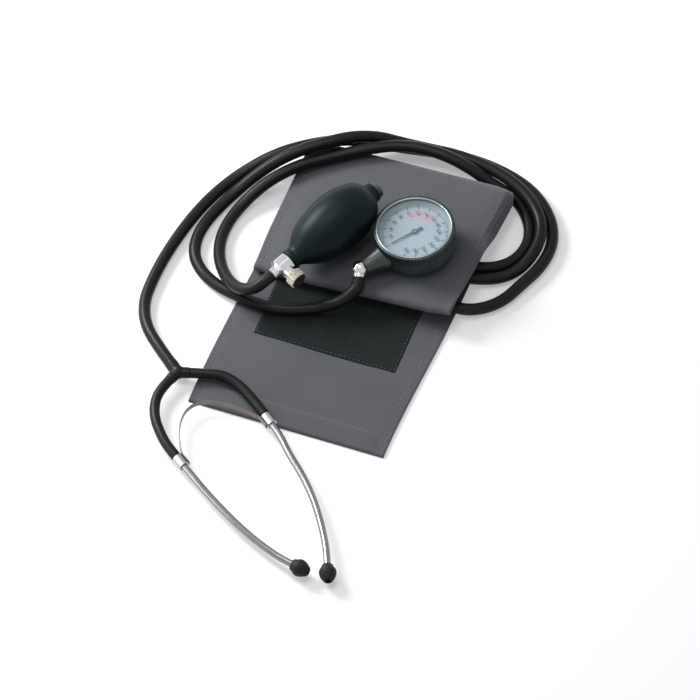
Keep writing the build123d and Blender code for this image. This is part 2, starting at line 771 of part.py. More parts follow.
# Rocker: a cross shaft whose short arm rests on the capsule and whose finger pushes the sector's pin
rocker_lean = rocker_swing / 2
rocker_origin = in_gauge(rocker_arm, 0, rocker_height)
rocker_shaft_plane = Plane(origin=rocker_origin, x_dir=stem_direction, z_dir=-gauge_plane.y_dir)
shaft_radius = 0.9
arm_width = 1.6
finger_width = 1.0
finger_y = sector_y - tail_length
with BuildPart() as rocker:
    with BuildSketch(rocker_shaft_plane.offset(-rocker_rear)):
        Circle(shaft_radius)
    extrude(amount=rocker_rear - rocker_front)
    with BuildSketch(rocker_shaft_plane.offset(-rocker_rear - ear_thickness)):
        Circle(rocker_pin)
    extrude(amount=rocker_rear - rocker_front + 2 * ear_thickness)
    with BuildSketch(rocker_shaft_plane.offset(-arm_width / 2)):
        with Locations(Rotation(0, 0, rocker_lean)):
            with Locations((-rocker_arm / 2 - 0.3, 0)):
                Rectangle(rocker_arm + 0.6, 0.9)
    extrude(amount=arm_width)
    with BuildSketch(rocker_shaft_plane.offset(-finger_y - finger_width / 2)):
        with Locations(Rotation(0, 0, rocker_lean)):
            with Locations((0, finger_length / 2)):
                Rectangle(1.0, finger_length)
    extrude(amount=finger_width)
save(rocker, "rocker_shaft")

# Capsule: two cells, each of two corrugated discs joined at the rim, with the push pin that rides on top
capsule_radius = case_bore - capsule_clear
capsule_neck = 0.4
neck_reach = 3.2
cell = (capsule_thickness - capsule_neck) / 2
rings = (0.25, 0.4, 0.55, 0.7, 0.85)
with BuildPart() as capsule:
    with BuildSketch(gauge_side):
        with BuildLine():
            side_line = []
            for base in (capsule_low + cell + capsule_neck, capsule_low):
                upper = [(capsule_radius * share, base + cell - cell * 0.135 * (index % 2))
                         for index, share in enumerate(rings)]
                lower = [(capsule_radius * share, base + cell * 0.135 * (index % 2))
                         for index, share in enumerate(rings)]
                side_line += [(neck_reach, base + cell), *upper, (capsule_radius, base + cell * 0.6),
                              (capsule_radius, base + cell * 0.4), *reversed(lower), (neck_reach, base)]
            Polyline((0, capsule_low + capsule_thickness), *side_line, (neck_reach, case_floor),
                     (0, case_floor), close=True)
        make_face()
    revolve(axis=gauge_axis)
save(capsule, "capsule")
capsule_stroke = 2 * rocker_arm * sin(radians(rocker_lean))
arm_rest = rocker_height - rocker_arm * sin(radians(rocker_lean))
pin_top = arm_rest - 0.45 / cos(radians(rocker_lean)) - 0.5
with BuildPart() as capsule_pin:
    with BuildSketch(gauge_plane.offset(capsule_low + capsule_thickness + 0.05)):
        Circle(1.6)
    extrude(amount=0.4)
    with BuildSketch(gauge_plane.offset(capsule_low + capsule_thickness + 0.05)):
        Circle(0.7)
    extrude(amount=pin_top - capsule_low - capsule_thickness - 0.05)
save(capsule_pin, "capsule_pin")

# Hairspring: a flat spiral of half turns round the arbor, in the space under the pinion
spring_low = plate_low + 1.3
spring_turns = 4
spring_step = 0.32
spring_start = 1.15
collet_radius = 0.95
with BuildPart() as hairspring:
    with BuildLine(gauge_plane.offset(spring_low)) as coil:
        radius = spring_start
        centre_x = 0
        for half in range(2 * spring_turns):
            CenterArc((centre_x, 0), radius, 180 * (half % 2), 180)
            centre_x += spring_step / 2 * (1 if half % 2 else -1)
            radius += spring_step / 2
    turns = coil.wire()
    with BuildSketch(Plane(origin=turns @ 0, x_dir=stem_direction, z_dir=turns % 0)):
        Rectangle(0.14, 0.4)
    sweep()
save(hairspring, "hairspring")
with BuildPart() as collet:
    with BuildSketch(gauge_plane.offset(spring_low - 0.3)):
        Circle(collet_radius)
        Circle(arbor_radius, mode=Mode.SUBTRACT)
    extrude(amount=0.7)
save(collet, "hairspring_collet")

# Pointer: a tapered needle with a round tail, at zero beside the stem
zero_angle = -20
pointer_length = dial_radius - 5.2
with BuildPart() as pointer:
    with BuildSketch(gauge_plane.offset(pointer_low)):
        with Locations(Rotation(0, 0, zero_angle)):
            with BuildLine():
                Polyline((-6, -0.9), (pointer_length, -0.14), (pointer_length, 0.14), (-6, 0.9), close=True)
            make_face()
        Circle(2.0)
    extrude(amount=0.4)
    with BuildSketch(gauge_plane.offset(pointer_low)):
        Circle(arbor_radius)
    extrude(amount=0.4, mode=Mode.SUBTRACT)
save(pointer, "pointer")

# Chest piece of the stethoscope, flat enough to lie in the slot under the flap
chest_low = lower_top + patch_thickness + 0.1
chest_middle = chest_low + 4.9
chest_direction = Vector(cos(radians(chest_azimuth)), sin(radians(chest_azimuth)), 0)
chest_centre = Vector(chest_x, chest_y, 0)
chest_side = turning_plane(chest_centre, Vector(0, 0, 1), chest_direction)
chest_axis = Axis(chest_centre, (0, 0, 1))
stem_face = 24.5
ring_height = 1.8
with BuildPart() as chest_body:
    with BuildSketch(chest_side):
        with BuildLine():
            Polyline((0, chest_low + ring_height), (chest_radius - 1.6, chest_low + ring_height),
                     (chest_radius - 1.6, chest_low + ring_height + 1.0))
            Spline((chest_radius - 1.6, chest_low + ring_height + 1.0),
                   (chest_radius * 0.55, chest_low + chest_height - 0.6), (0, chest_low + chest_height),
                   tangents=((-1, 0.5), (-1, 0)))
            Line((0, chest_low + chest_height), (0, chest_low + ring_height))
        make_face()
    revolve(axis=chest_axis)
    with BuildSketch(Plane(origin=chest_centre + Vector(0, 0, chest_middle), z_dir=chest_direction)):
        Circle(2.2)
    extrude(amount=stem_face)
    with BuildSketch(Plane(origin=chest_centre + Vector(0, 0, chest_low), x_dir=(1, 0, 0), z_dir=(0, 0, 1))):
        Circle(chest_radius - 1.8)
    extrude(amount=ring_height, mode=Mode.SUBTRACT)
    with BuildSketch(Plane(origin=chest_centre + Vector(0, 0, chest_middle) + chest_direction * (stem_face - 3),
                           z_dir=chest_direction)):
        Circle(hose_diameter / 2 - 0.6)
    extrude(amount=3)
save(chest_body, "chest_piece")
with BuildPart() as diaphragm:
    with BuildSketch(Plane(origin=chest_centre + Vector(0, 0, chest_low + 0.9), z_dir=(0, 0, 1))):
        Circle(chest_radius - 1.8)
    extrude(amount=0.4)
save(diaphragm, "chest_diaphragm")
with BuildPart() as chest_ring:
    with BuildSketch(chest_side):
        with BuildLine():
            Polyline((chest_radius - 3, chest_low), (chest_radius - 0.6, chest_low),
                     (chest_radius, chest_low + 0.6), (chest_radius, chest_low + ring_height + 0.8),
                     (chest_radius - 1.5, chest_low + ring_height + 0.8),
                     (chest_radius - 1.5, chest_low + 0.8), (chest_radius - 3, chest_low + 0.8), close=True)
        make_face()
    revolve(axis=chest_axis)
save(chest_ring, "chest_ring")

# Routes of the hoses, chosen by hand for one width of cuff: each is a list of corners
drawn_width = 143
hose_z = hose_diameter / 2
chest_exit = chest_centre + Vector(0, 0, chest_middle) + chest_direction * stem_face
elbow_exit = elbow_face + elbow_direction * 6
valve_exit = along_bulb(nipple_end)
valve_out = along_bulb(nipple_end + 8)
fork_centre = Vector(fork_x, fork_y, headset_height)
fork_angles = (141, -109.5, 16)
fork_reach = (10, 9, 9)


def fork_point(branch, distance):
    """A point outward along one arm of the fork."""
    turn = radians(fork_angles[branch])
    return fork_centre + Vector(cos(turn), sin(turn), 0) * distance


def spread(points):
    """Carry a drawn route to the present width of the cuff."""
    return [(x * cuff_width / drawn_width, y, z) for x, y, z in points]


stethoscope_route = [
    chest_exit, chest_exit + chest_direction * 13, *spread([
        (75.5, 16.4, 6.8), (88, 23.5, 4.8), (99, 35.5, 4.2), (108, 52, 4.2),
        (113, 69, 4.2), (114, 87, 4.2), (109.5, 104, 4.2), (100, 118.5, 4.2),
        (86, 129.5, 4.2), (68, 136.8, 4.2), (48, 140, 4.2), (28, 141, 4.2), (8, 139.5, 4.2),
        (-12, 135, 5.5), (-30, 129, 10.5), (-46, 121, 16.0), (-61, 111, 17.6), (-76, 101.5, 17.0),
        (-90, 92, 13.0), (-103, 80, 7.6), (-113, 66.5, 4.4), (-120, 50, 4.2), (-125.2, 32, 4.2),
        (-129.8, 12, 4.2), (-133, -10, 4.2), (-134, -31, 4.2), (-130.5, -50, 4.4), (-121, -69, 6.2)]),
    fork_point(0, 24), fork_point(0, fork_reach[0])]
gauge_route = [
    (port_face_x, gauge_port_y, port_z), (port_face_x + 13, gauge_port_y, port_z), *spread([
        (77, 45.2, 6.2), (89.5, 51.5, 4.6), (99.5, 61, 5.2), (105, 74, 7.4), (105.6, 89, 9.2),
        (101.2, 103, 9.4), (92.2, 115, 10), (79, 124.6, 11.0), (63, 130.8, 11.8), (45, 134.6, 12.2),
        (27, 136, 12.0), (9, 134.8, 11.4), (-9, 131.8, 14), (-25.5, 127, 20.3), (-41.5, 117.4, 25.2),
        (-56, 106.6, 25.4), (-70, 96.4, 23.6), (-83.4, 85.2, 18.8), (-95.4, 73.2, 11.4),
        (-104.5, 60.5, 5.5), (-111.3, 46, 4.2), (-116.2, 30, 4.2), (-117.8, 14, 4.2), (-114, -1, 4.2),
        (-104, -12, 4.2), (-90, -19.5, 4.6), (-74, -24, 6.6), (-58, -27, 7.2), (-43, -25.8, 7.2),
        (-28.5, -20.8, 7.4), (-15, -15.2, 9.2), (-3.8, -10.6, 14.2)]),
    elbow_exit + Vector(-2.2, -5.5, -2.7), elbow_exit, elbow_face]
bulb_route = [
    (port_face_x, bulb_port_y, port_z), (port_face_x + 13, bulb_port_y, port_z), *spread([
        (76, 54.5, 6.2), (87, 61, 4.6), (95, 71, 4.2), (98, 85, 4.2), (95, 99, 4.2),
        (86.5, 111.2, 4.2), (74, 119.5, 4.2), (58, 125, 4.2), (41, 127, 5.2), (23, 126.5, 10.5),
        (6, 125.4, 16.8), (-11, 122.4, 19.8), (-26.5, 114.8, 20.6), (-41, 106.6, 18.5),
        (-55, 97.6, 17.4), (-68, 88, 17), (-79.5, 76.5, 15), (-89.5, 64.5, 10.5), (-97.5, 50.5, 5.5),
        (-101.7, 35, 4.2), (-101.8, 18.5, 4.5), (-97, 2.5, 6.6), (-88.4, -11.5, 10.4),
        (-78.8, -22.2, 15.8), (-69.0, -28.6, 21.8)]),
    valve_out + Vector(-4.8, -4.25, -4.1), valve_out, valve_exit]

print("gauge hose")
save(tube(gauge_route, hose_diameter / 2), "gauge_hose")
print("bulb hose")
save(tube(bulb_route, hose_diameter / 2), "bulb_hose")
print("stethoscope tube")
save(tube(stethoscope_route, hose_diameter / 2), "stethoscope_tube")

# Fork: the moulded joint where the stethoscope's tube divides
with BuildPart() as fork:
    with Locations(fork_centre):
        Sphere(fork_radius)
    for branch, reach in enumerate(fork_reach):
        with BuildSketch(Plane(origin=fork_centre, z_dir=fork_point(branch, 1) - fork_centre)):
            Circle(fork_radius)
        extrude(amount=reach)
save(fork, "tubing_fork")

# Rubber branches, chrome ear tubes and soft ear tips of the headset
left_joint = Vector(left_joint_x, left_joint_y, headset_height)
right_joint = Vector(right_joint_x, right_joint_y, headset_height)
left_heading = Vector(9, -6.5, 0).normalized()
right_heading = Vector(8, -6.3, 0).normalized()
left_branch_route = [
    fork_point(1, fork_reach[1]), fork_point(1, 19), (-96.5, -130, headset_height),
    (-92, -142, headset_height), (-84.5, -152, headset_height), left_joint - left_heading * 12,
    left_joint - left_heading * lie_gap]
right_branch_route = [
    fork_point(2, fork_reach[2]), fork_point(2, 19), (-60.5, -91.4, headset_height),
    (-49, -94.3, headset_height), (-39.5, -99.8, headset_height), right_joint - right_heading * 10,
    right_joint - right_heading * lie_gap]
left_tube_route = [
    left_joint, left_joint + left_heading * 14, (-42, -184.4, headset_height), (-26, -195, headset_height),
    (-7, -206.5, headset_height), (11, -215.5, headset_height), (28, -222, headset_height),
    (42, -225, headset_height)]
right_tube_route = [
    right_joint, right_joint + right_heading * 18, (5, -138.5, headset_height), (19, -151.5, headset_height),
    (32.5, -167, headset_height), (44.8, -185, headset_height), (55.5, -204, headset_height),
    (62.5, -221, headset_height)]
print("left branch")
save(tube(left_branch_route, branch_diameter / 2), "left_branch")
print("right branch")
save(tube(right_branch_route, branch_diameter / 2), "right_branch")
print("left ear tube")
save(tube(left_tube_route, ear_tube_radius, ear_tube_bore), "ear_tube_left")
print("right ear tube")
save(tube(right_tube_route, ear_tube_radius, ear_tube_bore), "ear_tube_right")

tip_radius = 6.2
tip_length = 13
tip_cover = 4


def ear_tip(route):
    """A soft olive over the end of an ear tube."""
    end = Vector(*route[-1])
    heading = (end - Vector(*route[-2])).normalized()
    side = Vector(0, 0, 1).cross(heading)
    start = end - heading * tip_cover
    with BuildPart() as tip:
        with BuildSketch(turning_plane(start, heading, side)):
            with BuildLine():
                bore = ear_tube_radius + running_gap
                Polyline((bore, tip_cover), (bore, 0), (bore + 1.4, 0))
                Spline((bore + 1.4, 0), (tip_radius, tip_length * 0.45), (ear_tube_bore + 1.2, tip_length),
                       tangents=((0.6, 1), (-1, 0.25)))
                Polyline((ear_tube_bore + 1.2, tip_length), (ear_tube_bore, tip_length),
                         (ear_tube_bore, tip_cover), (bore, tip_cover))
            make_face()
        revolve(axis=Axis(start, heading))
    return tip


save(ear_tip(left_tube_route), "ear_tip_left")
save(ear_tip(right_tube_route), "ear_tip_right")

# Clamps that hold the leaf spring on the ear tubes
clamp_start = 1.0
clamp_length = 9.0
clamp_wall = 1.2


def clamp(route):
    """A sleeve round the start of an ear tube."""
    start = Vector(*route[0])
    heading = (Vector(*route[1]) - start).normalized()
    with BuildPart() as sleeve:
        with BuildSketch(Plane(origin=start + heading * clamp_start, z_dir=heading)):
            Circle(ear_tube_radius + running_gap + clamp_wall)
            Circle(ear_tube_radius + running_gap, mode=Mode.SUBTRACT)
        extrude(amount=clamp_length)
    return sleeve


save(clamp(left_tube_route), "spring_clamp_left")
save(clamp(right_tube_route), "spring_clamp_right")

# Leaf spring: a thin steel band bowed between the two clamps
seat_offset = ear_tube_radius + running_gap + clamp_wall + spring_thickness / 2 + running_gap
left_inward = Vector(0, 0, 1).cross(left_heading) * seat_offset
right_inward = right_heading.cross(Vector(0, 0, 1)) * seat_offset
left_clamp = left_joint + left_heading * (clamp_start + clamp_length)
right_clamp = right_joint + right_heading * (clamp_start + clamp_length)
spring_route = [
    left_clamp + left_inward, left_joint + left_heading * 2 + left_inward, (-72.5, -149, headset_height),
    (-76, -137, headset_height), (-74.5, -125.5, headset_height), (-66, -117.5, headset_height),
    (-54, -114, headset_height), (-41, -114, headset_height), right_joint + right_heading * 2 + right_inward,
    right_clamp + right_inward]
with BuildPart() as leaf_spring:
    with BuildLine() as bow:
        FilletPolyline(*spring_route, radius=bend_radii(spring_route))
    band = bow.wire()
    with BuildSketch(Plane(origin=band @ 0, x_dir=(0, 0, 1), z_dir=band % 0)):
        Rectangle(spring_height, spring_thickness)
    sweep()
save(leaf_spring, "headset_spring")

print("bulb axis", bulb_direction, "screw axis", side_direction, "at", along_bulb(screw_place))
print("gauge axis", flap_normal, "at", gauge_seat, "stem", stem_direction, "across", gauge_plane.y_dir)
print("sector at", in_gauge(sector_x, sector_y, 0), "rocker at", rocker_origin)
print("rocker swing", rocker_swing, "capsule stroke", capsule_stroke)
print("elbow face", elbow_face, "valve exit", valve_exit, "chest exit", chest_exit)
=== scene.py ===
import math
import bpy
from mathutils import Matrix, Vector, noise


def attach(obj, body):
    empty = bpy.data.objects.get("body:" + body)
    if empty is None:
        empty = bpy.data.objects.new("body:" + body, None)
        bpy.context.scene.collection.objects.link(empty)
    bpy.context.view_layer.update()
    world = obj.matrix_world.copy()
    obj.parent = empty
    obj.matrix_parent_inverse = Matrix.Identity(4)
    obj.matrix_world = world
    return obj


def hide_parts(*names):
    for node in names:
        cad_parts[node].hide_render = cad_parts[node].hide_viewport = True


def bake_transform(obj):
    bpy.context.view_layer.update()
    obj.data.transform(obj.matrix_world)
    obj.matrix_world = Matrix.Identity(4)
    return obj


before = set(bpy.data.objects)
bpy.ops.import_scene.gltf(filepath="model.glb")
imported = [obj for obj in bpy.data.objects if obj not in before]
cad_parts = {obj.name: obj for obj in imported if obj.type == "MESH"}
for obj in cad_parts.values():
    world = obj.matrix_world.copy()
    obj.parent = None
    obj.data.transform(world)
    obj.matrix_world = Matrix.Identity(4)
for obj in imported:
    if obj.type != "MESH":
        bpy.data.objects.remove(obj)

bpy.ops.object.select_all(action="DESELECT")
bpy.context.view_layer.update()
scene = bpy.context.scene
scene.view_settings.view_transform = "Standard"


# small helpers shared by all the pieces
def millimetres(*values):
    return Vector([value / 1000 for value in values])


def smoothStep(value):
    value = min(1.0, max(0.0, value))
    return value * value * (3 - 2 * value)


def frameOf(origin, xAxis, zAxis):  # a matrix whose Z runs along zAxis and X close to xAxis
    z = Vector(zAxis).normalized()
    y = z.cross(Vector(xAxis)).normalized()
    x = y.cross(z)
    matrix = Matrix((x, y, z)).transposed().to_4x4()
    matrix.translation = Vector(origin)
    return matrix


def meshPiece(name, points, faces, mapping=None):
    mesh = bpy.data.meshes.new(name)
    mesh.from_pydata(points, [], faces)
    if mapping:
        layer = mesh.uv_layers.new(name="ClothMap")
        for loop in mesh.loops:
            layer.data[loop.index].uv = mapping[loop.vertex_index]
    mesh.update()
    piece = bpy.data.objects.new(name, mesh)
    scene.collection.objects.link(piece)
    return piece


def pick(piece):
    bpy.ops.object.select_all(action="DESELECT")
    piece.select_set(True)
    bpy.context.view_layer.objects.active = piece


def applied(piece, kind, **settings):
    pick(piece)
    modifier = piece.modifiers.new(kind.title(), kind)
    for key, value in settings.items():
        setattr(modifier, key, value)
    bpy.ops.object.modifier_apply(modifier=modifier.name)


def smoothed(piece, angle):
    pick(piece)
    bpy.ops.object.shade_smooth_by_angle(angle=math.radians(angle))


def facedOutward(piece):
    pick(piece)
    bpy.ops.object.mode_set(mode="EDIT")
    bpy.ops.mesh.select_all(action="SELECT")
    bpy.ops.mesh.normals_make_consistent(inside=False)
    bpy.ops.object.mode_set(mode="OBJECT")


def joinedAs(name, pieces):
    bpy.ops.object.select_all(action="DESELECT")
    for piece in pieces:
        piece.select_set(True)
    bpy.context.view_layer.objects.active = pieces[0]
    bpy.ops.object.join()
    whole = bpy.context.active_object
    whole.name = name
    return whole


def splineCurve(name, points, resolution, dimensions="3D"):  # one open curve through the route's control points
    curve = bpy.data.curves.new(name, "CURVE")
    curve.dimensions = dimensions
    spline = curve.splines.new("NURBS")
    spline.points.add(len(points) - 1)
    for point, place in zip(spline.points, points):
        point.co = (*place, 1)
    spline.order_u = 3
    spline.use_endpoint_u = True
    spline.resolution_u = resolution
    return curve


def finished(piece, body, finish, slotName, *nodes):  # no body for the pieces that run between two
    piece.data.materials.clear()
    piece.data.materials.append(finish)
    if body:
        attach(piece, body)
    if nodes:
        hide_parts(*nodes)


def lathed(name, profile, place, steps=64, closed=False):  # profile is (radius, height) in metres, spun round Z
    bpy.ops.mesh.primitive_plane_add(size=0.001)
    piece = bpy.context.active_object
    piece.name = name
    bpy.ops.object.mode_set(mode="EDIT")
    bpy.ops.mesh.delete(type="VERT")
    bpy.ops.object.mode_set(mode="OBJECT")
    last = len(profile) - 1
    edges = [(corner, corner + 1) for corner in range(last)] + ([(last, 0)] if closed else [])
    piece.data.from_pydata([(radius, 0, height) for radius, height in profile], edges, [])
    bpy.ops.object.mode_set(mode="EDIT")
    bpy.ops.mesh.select_all(action="SELECT")
    bpy.ops.mesh.spin(steps=steps, angle=2 * math.pi, center=(0, 0, 0), axis=(0, 0, 1))
    bpy.ops.mesh.select_all(action="SELECT")
    bpy.ops.mesh.remove_doubles(threshold=0.000005)
    bpy.ops.mesh.normals_make_consistent(inside=False)
    bpy.ops.object.mode_set(mode="OBJECT")
    piece.data.transform(place)
    piece.data.update()
    return piece


# camera, lamps and floor
stage = {
    "lookAt": (0.01266, -0.0368, 0.0),
    "turn": 19.7,
    "height": 54.0,
    "distance": 12.0,
    "viewWidth": 0.4788,
    "sensor": 36.0,
    "worldStrength": 0.34,
    "worldColour": (0.93, 0.96, 1.0, 1),
    "floorSize": 12.0,
    "floorDrop": 0.0004,
    "floorColour": (0.66, 0.67, 0.68, 1),
    "floorGlow": 0.33,
    "lamps": [
        # name, place, size across, watts
        ("leftSoftbox", (-0.8, 0.2, 0.62), 0.45, 14.0),
        ("lowLeftCard", (-1.0, -0.45, 0.45), 0.5, 3.0),
        ("topSoftbox", (-0.1, -0.1, 1.3), 0.6, 5.0),
    ],
}


def addCamera():
    turn, height = math.radians(stage["turn"]), math.radians(stage["height"])
    back = Vector((math.sin(turn) * math.cos(height), -math.cos(turn) * math.cos(height), math.sin(height)))
    target = Vector(stage["lookAt"])
    bpy.ops.object.camera_add(location=target + back * stage["distance"])
    camera = bpy.context.active_object
    camera.name = "photoCamera"
    camera.rotation_mode = "QUATERNION"
    camera.rotation_quaternion = (-back).to_track_quat("-Z", "Y")
    camera.data.sensor_width = stage["sensor"]
    camera.data.lens = stage["sensor"] * stage["distance"] / stage["viewWidth"]
    camera.data.clip_end = 50
    scene.camera = camera


def seenDirectly(nodes, links):  # 1 for rays from the camera, off gloss and through glass
    path = nodes.new("ShaderNodeLightPath")
    seen = path.outputs["Is Camera Ray"]
    for ray in ("Is Glossy Ray", "Is Transmission Ray"):
        either = nodes.new("ShaderNodeMath")
        either.operation = "MAXIMUM"
        links.new(seen, either.inputs[0])
        links.new(path.outputs[ray], either.inputs[1])
        seen = either.outputs[0]
    return seen


def addLamps():
    for name, place, size, watts in stage["lamps"]:
        bpy.ops.object.light_add(type="AREA", location=place)
        lamp = bpy.context.active_object
        lamp.name = name
        lamp.data.size = size
        lamp.data.energy = watts
        lamp.rotation_mode = "QUATERNION"
        lamp.rotation_quaternion = (-Vector(place)).to_track_quat("-Z", "Y")
    world = bpy.data.worlds.new("paleStudio")
    scene.world = world
    world.use_nodes = True
    nodes, links = world.node_tree.nodes, world.node_tree.links
    soft = nodes["Background"]
    soft.inputs["Color"].default_value = stage["worldColour"]
    soft.inputs["Strength"].default_value = stage["worldStrength"]
    white = nodes.new("ShaderNodeBackground")
    white.inputs["Strength"].default_value = 1.0
    mix = nodes.new("ShaderNodeMixShader")
    links.new(seenDirectly(nodes, links), mix.inputs[0])
    links.new(soft.outputs[0], mix.inputs[1])
    links.new(white.outputs[0], mix.inputs[2])
    links.new(mix.outputs[0], nodes["World Output"].inputs["Surface"])


def addFloor():
    bpy.ops.mesh.primitive_plane_add(size=stage["floorSize"], location=(0, 0, -stage["floorDrop"]))
    floor = bpy.context.active_object
    floor.name = "paleFloor"
    material = bpy.data.materials.new("palePaper")
    material.use_nodes = True
    nodes, links = material.node_tree.nodes, material.node_tree.links
    paper = nodes["Principled BSDF"]
    paper.inputs["Base Color"].default_value = stage["floorColour"]
    paper.inputs["Roughness"].default_value = 0.9
    paper.inputs["Specular IOR Level"].default_value = 0.0
    glow = nodes.new("ShaderNodeEmission")
    glow.inputs["Strength"].default_value = stage["floorGlow"]
    both = nodes.new("ShaderNodeAddShader")
    mix = nodes.new("ShaderNodeMixShader")
    links.new(paper.outputs[0], both.inputs[0])
    links.new(glow.outputs[0], both.inputs[1])
    links.new(seenDirectly(nodes, links), mix.inputs[0])
    links.new(paper.outputs[0], mix.inputs[1])
    links.new(both.outputs[0], mix.inputs[2])
    links.new(mix.outputs[0], nodes["Material Output"].inputs["Surface"])
    floor.data.materials.append(material)


addCamera()
addLamps()
addFloor()
print("camera, lamps and floor are set")


# finishes: maths on sockets is written as plain expressions
class Link:
    def __init__(self, maker, socket):
        self.maker, self.socket = maker, socket

    def maths(self, operation, other=None, swapped=False):
        values = [self] if other is None else [self, other]
        if swapped:
            values.reverse()
        return self.maker.add("ShaderNodeMath", {"operation": operation}, dict(enumerate(values)))

    def __add__(self, other):
        return self.maths("ADD", other)

    def __sub__(self, other):
        return self.maths("SUBTRACT", other)

    def __rsub__(self, other):
        return self.maths("SUBTRACT", other, True)

    def __mul__(self, other):
        return self.maths("MULTIPLY", other)

    def __pow__(self, other):
        return self.maths("POWER", other)

    def wave(self):
        return self.maths("SINE")

    def size(self):
        return self.maths("ABSOLUTE")

    __radd__ = __add__
    __rmul__ = __mul__


class Finish:
    def __init__(self, name, colour, roughness, metallic=0.0, specular=0.5):
        self.material = bpy.data.materials.new(name)
        self.material.use_nodes = True
        self.tree = self.material.node_tree
        self.shader = self.tree.nodes["Principled BSDF"]
        self.set({"Base Color": (*colour, 1), "Roughness": roughness, "Metallic": metallic,
                  "Specular IOR Level": specular})

    def set(self, values):
        for key, value in values.items():
            self.plug(self.shader.inputs[key], value)

    def plug(self, socket, value):
        if isinstance(value, Link):
            self.tree.links.new(value.socket, socket)
        else:
            socket.default_value = value

    def add(self, kind, settings=None, values=None, out=0):
        node = self.tree.nodes.new(kind)
        for key, value in (settings or {}).items():
            setattr(node, key, value)
        for key, value in (values or {}).items():
            self.plug(node.inputs[key], value)
        return Link(self, node.outputs[out])

    def place(self):
        return self.add("ShaderNodeTexCoord", out="Object")

    def grain(self, scale, detail=3.0, roughness=0.55):
        return self.add("ShaderNodeTexNoise", None, {
            "Vector": self.place(), "Scale": scale, "Detail": detail, "Roughness": roughness})

    def cells(self, scale):
        return self.add("ShaderNodeTexVoronoi", None, {"Vector": self.place(), "Scale": scale})

    def between(self, share, first, second):  # a mix of two colours, or of a shade and a colour
        first, second = [(*shade, 1) if isinstance(shade, tuple) else shade for shade in (first, second)]
        return self.add("ShaderNodeMix", {"data_type": "RGBA"}, {0: share, 6: first, 7: second}, out=2)

    def bump(self, height, distance):
        return self.add("ShaderNodeBump", None,
                        {"Height": height, "Distance": distance, "Strength": 1.0}, out="Normal")


def clothFinish(name, light, dark, pitch, depth):
    f = Finish(name, light, 0.85, specular=0.25)
    where = f.add("ShaderNodeUVMap", {"uv_map": "ClothMap"})
    across = f.add("ShaderNodeSeparateXYZ", None, {0: where}, out="X")
    along = f.add("ShaderNodeSeparateXYZ", None, {0: where}, out="Y")
    turns = 2 * math.pi / pitch
    weft = (across * turns).wave().size()
    warp = (along * turns).wave().size()
    weave = weft * 0.5 + warp * 0.5
    cloud = f.grain(26, 4)
    speck = f.grain(900, 2, 0.7)
    shade = f.between(cloud, dark, light)
    shade = f.between((1 - weave) * 0.35 + speck * 0.25, shade, tuple(value * 0.55 for value in dark))
    f.set({"Base Color": shade, "Roughness": 0.72 + 0.2 * speck,
           "Normal": f.bump(weave + speck * 0.5, depth), "Sheen Weight": 0.25, "Sheen Roughness": 0.4})
    return f.material


def napFinish(name, light, dark, scale, depth):
    f = Finish(name, dark, 0.95, specular=0.15)
    loops = f.cells(scale)
    tuft = f.grain(scale * 0.45, 3)
    f.set({"Base Color": f.between(loops * tuft * 1.6, light, dark), "Roughness": 0.8 + 0.2 * tuft,
           "Normal": f.bump(loops + tuft, depth), "Sheen Weight": 0.2})
    return f.material


def rubberFinish(name, colour, roughness, bloom, scale, specular=0.16, sheen=(1.0, 1.0, 1.0, 1.0)):
    f = Finish(name, colour, roughness, specular=specular)
    f.set({"Specular Tint": sheen})
    cloud = f.grain(scale * 0.3, 4)
    skin = f.grain(scale * 22, 2)
    f.set({"Base Color": f.between(cloud * 0.6, colour, bloom), "Roughness": roughness + 0.16 * (cloud - 0.5),
           "Normal": f.bump(skin + cloud, 0.00006)})
    return f.material


def metalFinish(name, colour, worn, roughness, scale=120.0, metallic=1.0):
    f = Finish(name, colour, roughness, metallic)
    wear = f.grain(scale, 5)
    fine = f.grain(scale * 9, 3)
    f.set({"Base Color": f.between(wear ** 2.0, colour, worn), "Roughness": roughness + 0.1 * (fine - 0.4),
           "Normal": f.bump(fine, 0.000008)})
    return f.material


def paintFinish(name, colour, worn, roughness, coat):
    f = Finish(name, colour, roughness)
    wear = f.grain(90, 5)
    peel = f.grain(700, 2)
    f.set({"Base Color": f.between(wear ** 2.5, colour, worn), "Roughness": roughness + 0.12 * (wear - 0.5),
           "Normal": f.bump(peel, 0.00004), "Coat Weight": coat, "Coat Roughness": 0.18})
    return f.material


def glassFinish(name):
    f = Finish(name, (0.6, 0.66, 0.7), 0.05)
    smear = f.grain(70, 3)
    f.set({"Alpha": 0.04 + 0.05 * smear, "Roughness": 0.04 + 0.08 * smear})
    return f.material


